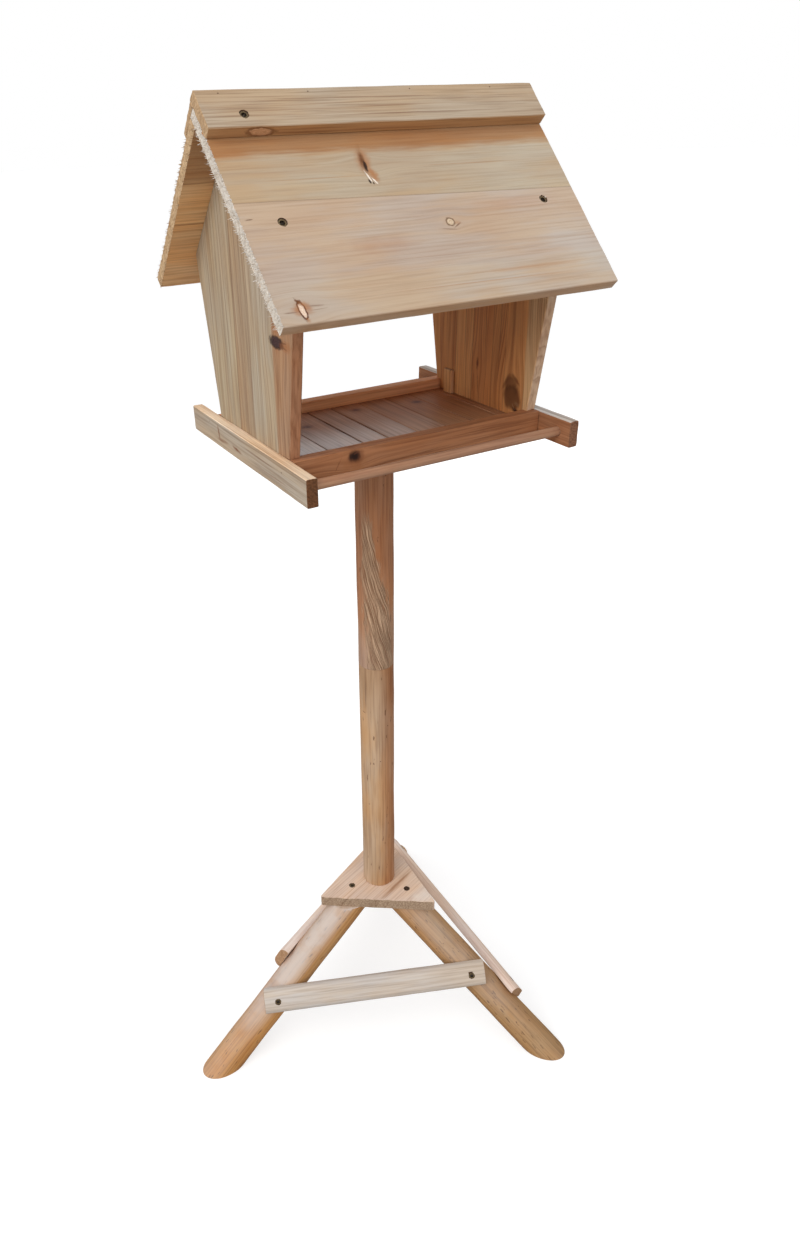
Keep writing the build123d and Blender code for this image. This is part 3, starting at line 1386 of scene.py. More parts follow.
    def bore(self, piece: Object, spot: Spot, cutter: Object) -> None:
        """Cut one pocket out of a piece and colour its wall dark, as painted shade in the pocket.

        Args:
            piece: The worked piece.
            spot: The screw's place.
            cutter: The pocket's cutter, taken away afterwards.
        """
        cutting = piece.modifiers.new("pocket", "BOOLEAN")
        cutting.operation, cutting.solver, cutting.object = "DIFFERENCE", "EXACT", cutter
        bpy.context.view_layer.update()
        seen = piece.evaluated_get(bpy.context.evaluated_depsgraph_get())
        data = bpy.data.meshes.new_from_object(seen)
        piece.modifiers.clear()
        old, piece.data = piece.data, data
        bpy.data.meshes.remove(old)
        bpy.data.objects.remove(cutter)
        if len(data.materials) < 2:
            data.materials.append(self.torn)
        deepest = -self.depth - self.wall_overrun
        for face in data.polygons:
            off = face.center - spot.place
            height = off.dot(spot.out)
            side = off - spot.out * height
            if side.length < self.pocket_radius * self.wall_spread and deepest < height < -self.wall_from:
                face.material_index = 1
                face.use_smooth = False


@dataclass
class House:
    """Sizes that the tray, walls and roof share, in metres, from the middle of the tray."""

    board: float = 0.0115
    rail_top: float = 0.9195
    rail_inner_x: float = 0.1485
    tray_half_x: float = 0.160
    rail_face_y: float = 0.0945
    floor_top: float = 0.908
    apex_rise: float = 0.279
    roof_half: float = 0.180
    eave_down: float = 0.2111
    middle: Vector = field(init=False)

    def __post_init__(self) -> None:
        """Find the middle of the tray from the side rails."""
        low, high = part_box("left_side_rail")[0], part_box("right_side_rail")[1]
        self.middle = Vector(((low[0] + high[0]) / 2, (low[1] + high[1]) / 2, self.rail_top))

    def at(self, x: float, y: float, z: float) -> Vector:
        """Give a frame point from lengths off the tray's middle at the rail tops."""
        return self.middle + Vector((x, y, z))

    def slope(self, side: int) -> Vector:
        """Give the way down one slope, -1 for the front and 1 for the rear."""
        fall = math.sqrt(0.5)
        return Vector((0.0, side * fall, -fall))

    def outward(self, side: int) -> Vector:
        """Give the way out of one slope."""
        fall = math.sqrt(0.5)
        return Vector((0.0, side * fall, fall))


def coat(node: str, material: Material) -> None:
    """Give a CAD piece its material.

    Args:
        node: The CAD node's name.
        material: The material.
    """
    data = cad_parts[node].data
    data.materials.clear()
    data.materials.append(material)
    LOG.info("%s coated", node)


# The front roof board; its edge tint darkens and warms the eave edge as painted shade
ROOF_WOOD = WoodFinish(
    pale=screen(190, 176, 155), dark=screen(156, 112, 74), warm=screen(182, 161, 138), ring_width=0.0042,
    wander=0.0022, pith_across=0.1, pith_depth=0.055, lines=0.13, streak=0.06, cloud=0.6, blush=1.0,
    end_pale=screen(222, 214, 202), end_dark=screen(172, 152, 130), end_fuzz=0.5, fibre=0.2,
    edge_tint=(0.94, 0.76, 0.62), far_tint=(1.05, 1.1, 1.16), far_range=(0.02, 0.17),
)
# The rear board is a brighter, oranger copy of the roof wood, as painted light on its underside; its top
# lighting tint takes the top face back down
REAR_ROOF_WOOD = replace(
    ROOF_WOOD, pale=screen(238, 194, 140), dark=screen(162, 110, 69), warm=screen(225, 171, 116), streak=0.3,
    wander=0.005, fibre=0.36, top_lighting_tint=(0.66, 0.83, 1.22), end_pale=screen(206, 176, 138),
    end_dark=screen(150, 112, 74),
)
CAP_WOOD = WoodFinish(
    pale=screen(190, 170, 144), dark=screen(139, 98, 64), warm=screen(184, 156, 124), ring_width=0.0046,
    wander=0.004, pith_across=-0.05, pith_depth=0.02, lines=0.26, streak=0.2, cloud=0.4,
    end_pale=screen(196, 164, 126), end_dark=screen(142, 108, 76), end_fuzz=0.5, fibre=0.42,
    edge_tint=(1.05, 0.73, 0.46),
)
# The left wall; its edge tint warms the front edge as painted shade under the roof
WALL_WOOD = WoodFinish(
    pale=screen(185, 171, 146), dark=screen(128, 97, 68), warm=screen(173, 151, 128), ring_width=0.0036,
    wander=0.004, pith_across=0.13, pith_depth=0.03, lines=0.4, streak=0.45, cloud=0.45,
    end_pale=screen(190, 152, 118), end_dark=screen(140, 98, 68), edge_tint=(1.09, 0.86, 0.75),
)
# The right wall and the corner blocks, inside the house: a warmer, oranger copy of the wall wood, as painted
# warm shade; the side tint and the edge tint lift the outer face and the edges back out of it
SHADED_INSIDE_WOOD = WoodFinish(
    pale=screen(233, 173, 113), dark=screen(157, 96, 55), warm=screen(213, 143, 86), ring_width=0.0042,
    wander=0.007, pith_across=0.1, pith_depth=0.03, lines=0.45, streak=0.4, cloud=0.55, blush=0.5,
    end_pale=screen(190, 152, 118), end_dark=screen(140, 98, 68), edge_tint=(0.91, 1.0, 1.29),
    side_lighting_tint=(0.62, 0.97, 1.6), lighting_side_way=(1.0, 0.0, 0.0),
)
RAIL_WOOD = WoodFinish(
    pale=screen(178, 124, 87), dark=screen(120, 72, 42), warm=screen(166, 109, 72), ring_width=0.0048,
    wander=0.004, pith_across=0.05, pith_depth=0.03, lines=0.5, streak=0.5, cloud=0.5,
    end_pale=screen(150, 104, 76), end_dark=screen(92, 58, 40), end_fuzz=0.6,
)
# The left rail; its top lighting tint paints the top much paler, as painted light
SIDE_RAIL_WOOD = WoodFinish(
    pale=screen(185, 169, 148), dark=screen(128, 99, 71), warm=screen(176, 153, 130), ring_width=0.0032,
    wander=0.003, pith_across=0.03, pith_depth=0.05, lines=0.4, streak=0.4, cloud=0.4,
    end_pale=screen(121, 79, 50), end_dark=screen(73, 43, 24), end_fuzz=0.6, top_lighting_tint=(1.9, 1.81, 1.71),
)
# The right rail: its top lighting tint paints the top grey-white as painted light, and its side tint makes
# the outer face paler and cooler than the inner face
RIGHT_RAIL_WOOD = replace(
    RAIL_WOOD, top_lighting_tint=(1.85, 3.9, 7.6), side_lighting_tint=(1.05, 1.85, 2.8), lighting_side_way=(1.0, 0.0, 0.0),
)
# The rear rail is a brighter copy of the rail wood, painted light on its shaded inner face; its side tint
# takes the outer face back down
REAR_RAIL_WOOD = replace(
    RAIL_WOOD, pale=screen(238, 175, 128), dark=screen(168, 108, 68), warm=screen(224, 156, 108),
    side_lighting_tint=(0.64, 0.74, 0.88), lighting_side_way=(0.0, 1.0, 0.0),
)
# The floor's pale, lilac front boards: a painted sheen; the far tint darkens them towards the rear as
# painted shade and the edge tint darkens the joints as painted shade
FLOOR_SHEEN_WOOD = WoodFinish(
    pale=screen(210, 196, 193), dark=screen(150, 122, 112), warm=screen(198, 178, 171), ring_width=0.0044,
    wander=0.004, pith_across=0.01, pith_depth=-0.05, lines=0.3, streak=0.35, cloud=0.5, roughness=0.5,
    gloss=0.1, varnish=1.0, edge_tint=(0.86, 0.8, 0.76), far_tint=(0.86, 0.6, 0.46),
    far_range=(-0.045, 0.03),
)
# The floor's brown boards at the right, with the same painted shade towards the rear
FLOOR_BROWN = replace(
    FLOOR_SHEEN_WOOD, pale=screen(190, 146, 112), dark=screen(130, 86, 56), warm=screen(176, 126, 90), varnish=0.0,
    far_tint=(0.86, 0.68, 0.54),
)
PERCH_WOOD = WoodFinish(
    pale=screen(192, 150, 120), dark=screen(147, 98, 71), warm=screen(179, 129, 101), ring_width=0.003,
    wander=0.003, pith_across=0.03, pith_depth=0.02, lines=0.35, streak=0.3, cloud=0.4,
    far_tint=(0.86, 0.81, 0.76), far_range=(-0.13, -0.05),
)
# The lower post; its side tint paints shade on its right side
POST_WOOD = WoodFinish(
    pale=screen(204, 172, 139), dark=screen(141, 105, 69), warm=screen(186, 148, 110), ring_width=0.0042,
    wander=0.006, pith_across=0.002, pith_depth=-0.003, lines=0.12, streak=0.1, cloud=0.8, flecks=0.14,
    cool=(0.98, 1.03, 1.12), gold=(1.03, 0.93, 0.8), blush=1.0,
    side_lighting_tint=(0.84, 0.64, 0.54), lighting_side_range=(-0.4, 0.75), far_tint=(0.82, 0.74, 0.66), far_range=(0.5, 0.585),
    stock=Stock.POLE,
)
# The upper post: a darker copy of the post wood as painted shade under the tray, darker and more orange
# still towards its top as painted shade, with its right side warmed as painted shade
SHADED_UPPER_POST_WOOD = replace(
    POST_WOOD, pale=screen(187, 155, 131), dark=screen(127, 92, 66), warm=screen(170, 131, 104),
    side_lighting_tint=(1.08, 0.98, 0.86), far_tint=(0.9, 0.71, 0.56), far_range=(0.6, 0.71),
)
# The legs: their bleach and sheen pales the faces that look up and left, partly sun bleaching and partly
# painted sheen
LEG_WOOD = WoodFinish(
    pale=screen(194, 150, 99), dark=screen(135, 84, 41), warm=screen(180, 126, 72), ring_width=0.0042,
    wander=0.007, pith_across=0.003, pith_depth=0.002, lines=0.16, streak=0.2, cloud=0.6, flecks=0.45,
    bleach_and_sheen=0.75, bleach_and_sheen_colour=screen(208, 200, 194), stock=Stock.POLE,
)
PLATE_WOOD = WoodFinish(
    pale=screen(226, 203, 182), dark=screen(174, 132, 100), warm=screen(216, 185, 162), ring_width=0.007,
    wander=0.004, pith_across=0.09, pith_depth=0.03, lines=0.22, streak=0.22, cloud=0.5,
    end_pale=screen(186, 160, 134), end_dark=screen(120, 92, 68), end_fuzz=0.7, edge_tint=(0.8, 0.74, 0.7),
)
BRACE_WOOD = WoodFinish(
    pale=screen(205, 196, 186), dark=screen(166, 142, 118), warm=screen(197, 184, 169), ring_width=0.006,
    wander=0.004, pith_across=0.03, pith_depth=-0.02, lines=0.14, streak=0.14, cloud=0.55,
    end_pale=screen(188, 150, 116), end_dark=screen(138, 98, 66), end_fuzz=0.6,
)
PEACH_WOOD = replace(
    BRACE_WOOD, pale=screen(240, 221, 206), dark=screen(187, 148, 119), warm=screen(230, 203, 183)
)
LEFT_LEG_WOOD = replace(LEG_WOOD, far_tint=(1.08, 1.0, 0.86), far_range=(0.1, 0.26))
RIGHT_LEG_WOOD = replace(
    LEG_WOOD, pale=screen(188, 150, 106), dark=screen(116, 74, 44), warm=screen(176, 130, 82), lines=0.45,
    far_tint=(0.92, 0.9, 0.84), far_range=(0.06, 0.24), bleach_and_sheen=0.36, flecks=0.7,
)

Marks = tuple[list[Knot], list[Dash], list[Stave]]


@dataclass
class Splinters:
    """The torn fibres that stand out of a rough sawn end."""

    groups: WoodGroups
    name: str
    pale: Colour
    dull: Colour
    count: int = 640
    longest: float = 0.0034
    shortest: float = 0.0004
    thickest: float = 0.0006
    root: float = 0.0012
    lean: float = 0.35
    short_bias: float = 2.2
    thinnest_share: float = 0.3
    wood: Material = field(init=False)

    def __post_init__(self) -> None:
        """Make the fibre material."""
        self.wood = sawn_wood(self.groups, self.name, self.pale, self.dull)

    def build(self, name: str, lie: Lie, end: float, across: Range, deep: Range) -> None:
        """Stand thin fibres along one end of a board.

        Args:
            name: The piece's name.
            lie: Where the board lies.
            end: The end's place along the grain.
            across: The end's range across the grain.
            deep: The end's range through the board.
        """
        pick = random.Random(len(name) * 31)
        mesh = bmesh.new()
        place = lie.matrix()
        way = math.copysign(1.0, end)
        for number in range(self.count):
            y = pick.uniform(*across)
            z = pick.choice(deep) if number % 3 else pick.uniform(*deep)
            run = self.longest * pick.random() ** self.short_bias + self.shortest
            half = self.thickest * pick.uniform(self.thinnest_share, 1.0)
            root = Vector((end - way * self.root, y, z))
            side, rise = pick.gauss(0.0, self.lean) * run, pick.gauss(0.0, self.lean) * run
            tip = root + Vector((way * (run + self.root), side, rise))
            turn = pick.uniform(0.0, math.tau)
            ring = []
            for step in range(3):
                angle = turn + math.tau * step / 3
                corner = root + Vector((0.0, cos(angle), sin(angle))) * half
                ring.append(mesh.verts.new(place @ corner))
            point = mesh.verts.new(place @ tip)
            mesh.faces.new(ring)
            for a in range(3):
                mesh.faces.new((ring[a], point, ring[(a + 1) % 3]))
        bmesh.ops.recalc_face_normals(mesh, faces=mesh.faces)
        piece = make_object(name, mesh, self.wood)
        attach(piece, "root")
        LOG.info("%s has %d fibres", name, self.count)


@dataclass
class Roof:
    """The two roof boards and the two ridge caps."""

    house: House
    groups: WoodGroups
    screws: Screws
    screws_x: Range = (-0.1416, 0.1386)
    screw_down: float = 0.1115
    cap_screw_x: float = -0.142
    cap_screw_down: float = 0.0095
    nails_x: tuple[float, ...] = (-0.158, -0.072, 0.035, 0.128)
    board_cells: Triple = (0.010, 0.0022, 0.003)
    cap_cells: Triple = (0.010, 0.003, 0.003)

    def lie(self, side: int) -> Lie:
        """Say how the boards of one slope lie."""
        apex = self.house.at(0.0, 0.0, self.house.apex_rise)
        return Lie(apex, TO_RIGHT, self.house.slope(side))

    def spot(self, side: int, x: float, down: float, out: float) -> Spot:
        """Give a screw's place on one slope by its run along, its run down and its height."""
        top = self.house.at(x, 0.0, self.house.apex_rise)
        way = self.house.outward(side)
        return Spot(top + self.house.slope(side) * down + way * out, way)

    def build(self) -> None:
        """Build the boards, then the caps."""
        self.build_boards()
        self.build_caps()

    def front_marks(self) -> Marks:
        """Place the front board's knots, streaks and bands."""
        black, brown, orange = screen(46, 28, 20), screen(100, 60, 34), screen(172, 112, 64)
        white = screen(242, 226, 208)
        knots = [
            Knot(-0.04, 0.0585, 0.006, 1.0, strength=0.0),
            Knot(0.0225, 0.127, 0.0041, 1.05, 0.0, KnotKind.EYE, halo=0.7),
            Knot(-0.1568, 0.1975, 0.0086, 0.37, 0.06, KnotKind.CHIPPED, halo=0.42),
        ]
        dashes = [
            Dash(-0.0395, 0.054, 0.024, 0.01, 96.0, 0.8, orange, 0.0),
            Dash(-0.035, 0.07, 0.013, 0.0066, 80.0, 0.8, orange, 0.0),
            Dash(-0.0405, 0.053, 0.017, 0.0044, 99.0, 0.85, brown, 0.0),
            Dash(-0.0393, 0.06, 0.0105, 0.0024, 96.0, 0.95, black, 0.3),
            Dash(-0.041, 0.072, 0.008, 0.0013, 76.0, 1.0, white, 0.5),
            Dash(-0.0365, 0.0765, 0.006, 0.0012, 62.0, 1.0, white, 0.5),
            Dash(-0.0415, 0.077, 0.003, 0.0014, 80.0, 0.95, black, 0.5),
            Dash(-0.0385, 0.079, 0.0018, 0.0009, 80.0, 0.9, black, 0.5),
            Dash(-0.171, 0.1065, 0.0045, 0.0006, 0.0, 0.8, brown),
            Dash(0.029, 0.131, 0.0065, 0.0008, -28.0, 0.6, brown),
            Dash(0.018, 0.1345, 0.012, 0.0008, 8.0, 0.4, brown),
            Dash(0.03, 0.1285, 0.005, 0.003, 0.0, 0.35, orange, 0.0),
            Dash(-0.1585, 0.1892, 0.0052, 0.0019, 60.0, 0.85, brown, 0.2),
            Dash(-0.153, 0.193, 0.0095, 0.0052, 45.0, 0.6, orange, 0.0),
            Dash(-0.161, 0.196, 0.0085, 0.0042, 95.0, 0.5, orange, 0.0),
            Dash(-0.169, 0.1985, 0.0095, 0.0009, 2.0, 0.6, brown, 0.1),
            Dash(-0.144, 0.1948, 0.011, 0.001, 4.0, 0.5, brown, 0.1),
            Dash(-0.142, 0.1985, 0.012, 0.0008, -2.0, 0.35, brown, 0.1),
            Dash(-0.155, 0.2075, 0.0042, 0.003, 90.0, 0.55, orange, 0.0),
            Dash(-0.09, 0.07, 0.07, 0.0007, 0.0, 0.3, orange),
            Dash(0.07, 0.064, 0.08, 0.0007, 0.5, 0.3, orange),
            Dash(0.03, 0.193, 0.12, 0.0008, 0.6, 0.35, orange),
            Dash(0.09, 0.184, 0.08, 0.003, 0.4, 0.3, orange, 0.0),
            Dash(-0.058, 0.143, 0.056, 0.013, 2.0, 0.42, screen(178, 130, 98), 0.0),
            Dash(0.1, 0.112, 0.07, 0.01, 1.0, 0.22, screen(196, 142, 104), 0.0),
        ]
        staves = [
            # The first strip, from the ridge to the first joint, is darker and more orange: partly the
            # wood's own tone, partly painted shadow of the cap
            Stave(-1.0, (0.82, 0.52, 0.31), 0.0),
            Stave(0.043, (1.01, 0.95, 0.855), 0.0, 0.0, 0.006),
            Stave(0.0947, (1.06, 1.005, 1.02), 0.22, 0.029),
            Stave(0.172, (1.06, 1.02, 1.02), 0.0, 0.012, 0.005),
        ]
        return knots, dashes, staves

    def rear_marks(self) -> Marks:
        """Place the rear board's knots, streaks and bands."""
        brown = screen(112, 68, 38)
        knots = [Knot(0.06, 0.088, 0.006, 0.9), Knot(-0.096, 0.15, 0.0045, 1.1, 0.0, KnotKind.EYE)]
        dashes = [
            Dash(-0.15, 0.118, 0.05, 0.001, 0.0, 0.5, brown),
            Dash(0.04, 0.171, 0.06, 0.0009, 0.0, 0.4, brown),
        ]
        staves = [
            # The first strip, from the ridge down, is darker: painted shadow on the underside's upper third
            Stave(-1.0, (0.64, 0.6, 0.6), 0.0),
            Stave(0.062, NEUTRAL, 0.2, -0.012, 0.006),
            Stave(0.118, (0.94, 0.9, 0.86), 0.25, 0.01),
            Stave(0.169, (1.02, 1.0, 0.98), 0.15),
        ]
        return knots, dashes, staves

    def build_boards(self) -> None:
        """Dress the two boards with bands, knots and rough sawn left ends."""
        white = Splinters(self.groups, "white_fibre", screen(226, 222, 216), screen(196, 178, 158))
        tan = Splinters(self.groups, "tan_fibre", screen(204, 176, 140), screen(156, 120, 84), 300, 0.0026)
        boards = (
            (-1, "front_roof_board", 1.3, ROOF_WOOD, self.front_marks(), white),
            (1, "rear_roof_board", 4.7, REAR_ROOF_WOOD, self.rear_marks(), tan),
        )
        for side, name, seed, finish, (knots, dashes, staves), splinters in boards:
            lie = self.lie(side)
            material = WoodCoat(self.groups, finish, lie).build(name + "_wood", seed, knots, dashes, staves)
            sawing = Sawing(low_end=0.0013, high_end=0.0004, seed=seed)
            piece = dress(name, lie, self.board_cells, sawing.shift, material, "roof_wood")
            thick = self.house.board
            self.screws.sink(piece, [self.spot(side, x, self.screw_down, thick) for x in self.screws_x])
            deep = (-thick, 0.0) if side < 0 else (0.0, thick)
            splinters.build(name + "_fibres", lie, -self.house.roof_half, (0.0, self.house.eave_down), deep)

    def build_caps(self) -> None:
        """Dress the two ridge caps."""
        brown = screen(112, 68, 38)
        for side, name, seed in ((-1, "front_ridge_cap", 2.2), (1, "rear_ridge_cap", 6.1)):
            lie = self.lie(side)
            knots, dashes = [], []
            if side < 0:
                knots.append(Knot(-0.13, -0.0168, 0.0046, 2.7, 0.3, KnotKind.SWIRL, True, 0.5))
                dashes += [Dash(x, -0.013, 0.0009, 0.0009, 0.0, 0.9) for x in self.nails_x]
                dashes.append(Dash(-0.02, -0.005, 0.15, 0.0008, 0.3, 0.4, brown))
                dashes.append(Dash(0.03, 0.014, 0.14, 0.0008, 0.0, 0.4, brown))
            material = WoodCoat(self.groups, CAP_WOOD, lie).build(name + "_wood", seed, knots, dashes)
            sawing = Sawing(low_end=0.0006, high_end=0.0005, seed=seed)
            piece = dress(name, lie, self.cap_cells, sawing.shift, material, "roof_wood")
            if side < 0:
                spot = self.spot(side, self.cap_screw_x, self.cap_screw_down, 2 * self.house.board)
                self.screws.sink(piece, [spot])


@dataclass
class Walls:
    """The two gable walls and the blocks nailed inside them."""

    house: House
    groups: WoodGroups
    cells: Triple = (0.009, 0.006, 0.004)

    def left_marks(self) -> Marks:
        """Place the left wall's knot, streaks and staves."""
        orange, brown = screen(158, 102, 62), screen(118, 76, 48)
        knots = [Knot(0.1075, -0.0735, 0.0132, 0.4, 0.0, KnotKind.DEAD, halo=0.3)]
        dashes = [
            Dash(0.106, -0.083, 0.007, 0.0045, 90.0, 0.75, screen(104, 60, 38), 0.0),
            Dash(0.1065, -0.093, 0.015, 0.0072, 90.0, 0.75, orange, 0.1),
            Dash(0.1185, -0.072, 0.012, 0.005, 90.0, 0.6, orange, 0.0),
            Dash(0.105, -0.088, 0.009, 0.0011, 80.0, 0.6, brown),
            Dash(0.109, -0.089, 0.008, 0.001, 96.0, 0.6, brown),
            Dash(0.066, -0.0705, 0.042, 0.0042, -5.7, 0.45, brown, 0.0),
            Dash(0.15, -0.077, 0.036, 0.004, 4.6, 0.4, orange, 0.0),
            Dash(0.08, 0.006, 0.11, 0.0007, -2.3, 0.5, brown),
            Dash(0.1, -0.033, 0.12, 0.0007, -1.1, 0.4, brown),
            Dash(0.06, 0.044, 0.09, 0.0007, -2.9, 0.4, brown),
        ]
        staves = [
            Stave(-1.0, (0.9, 0.65, 0.53), 0.0),
            Stave(-0.062, (1.02, 1.01, 1.03), 0.1, -0.02, 0.0035),
            Stave(-0.007, (0.92, 0.81, 0.73), 0.45, -0.03),
            Stave(0.03, (1.0, 0.98, 0.95), 0.5, -0.048),
            Stave(0.052, (0.97, 0.94, 0.9), 0.2),
        ]
        return knots, dashes, staves

    def right_marks(self) -> Marks:
        """Place the right wall's flame-shaped knot, streaks and staves."""
        black, brown, deep = screen(40, 24, 18), screen(110, 64, 38), screen(98, 58, 32)
        knots = [
            Knot(0.01, -0.06, 0.0135, 1.25, strength=0.0),
            Knot(0.03, 0.005, 0.005, 1.6, strength=0.0),
        ]
        dashes = [
            Dash(0.0085, -0.06, 0.0185, 0.0165, 90.0, 0.8, deep, 0.6, ragged=0.5),
            Dash(0.0175, -0.058, 0.019, 0.014, 0.0, 0.75, deep, 0.5, ragged=0.35),
            Dash(0.0234, -0.0486, 0.0155, 0.0034, -32.6, 0.6, screen(92, 50, 28), 0.2, ragged=0.5),
            Dash(0.029, -0.0655, 0.012, 0.0032, 56.4, 0.6, screen(92, 50, 28), 0.2, ragged=0.5),
            Dash(0.011, -0.059, 0.0125, 0.01, 90.0, 0.55, screen(132, 84, 48), 0.3, ragged=0.8),
            Dash(0.003, -0.0695, 0.0065, 0.0036, 60.0, 0.6, screen(152, 112, 78), 0.3, ragged=0.8),
            Dash(-0.0045, -0.068, 0.0085, 0.0034, 75.0, 0.9, black, 0.2, ragged=0.7),
            Dash(-0.001, -0.064, 0.005, 0.0007, 35.0, 0.8, screen(170, 128, 96)),
            Dash(0.033, 0.005, 0.0085, 0.0034, 0.0, 0.8, screen(96, 50, 28), 0.1),
            Dash(0.01, 0.003, 0.016, 0.0008, 3.0, 0.6, brown),
            Dash(0.01, 0.012, 0.018, 0.0008, -3.0, 0.5, brown),
            Dash(0.08, -0.056, 0.07, 0.005, 1.1, 0.35, brown, 0.0),
            Dash(0.09, 0.03, 0.08, 0.001, 0.0, 0.4, brown),
            Dash(0.1, -0.008, 0.09, 0.0009, 1.0, 0.45, brown),
            Dash(0.07, -0.034, 0.07, 0.0009, -1.0, 0.45, brown),
        ]
        staves = [
            Stave(-1.0, (0.91, 1.15, 1.5), 0.0),
            Stave(-0.079, (0.95, 0.92, 0.9), 0.15, 0.0, 0.0022),
            Stave(-0.045, (0.88, 0.82, 0.78), 0.2),
            Stave(-0.022, (0.865, 0.75, 0.7), 0.35),
            Stave(0.015, (1.02, 1.0, 0.98), 0.45),
            Stave(0.048, (0.86, 0.78, 0.72), 0.4),
        ]
        return knots, dashes, staves

    def build(self) -> None:
        """Dress each wall with its own marks, then coat the blocks."""
        sides = (
            ("left", -self.house.rail_inner_x, WALL_WOOD, 3.4, self.left_marks()),
            ("right", self.house.rail_inner_x, SHADED_INSIDE_WOOD, 8.8, self.right_marks()),
        )
        for side, x, finish, seed, (knots, dashes, staves) in sides:
            name = side + "_gable_wall"
            lie = Lie(self.house.at(x, 0.0, 0.0), UP, TO_REAR)
            material = WoodCoat(self.groups, finish, lie).build(name + "_wood", seed, knots, dashes, staves)
            dress(name, lie, self.cells, Sawing(seed=seed).shift, material, "wall_wood")
            block = side + "_corner_block"
            coat(block, WoodCoat(self.groups, SHADED_INSIDE_WOOD, lie).build(block + "_wood", seed + 2.0))


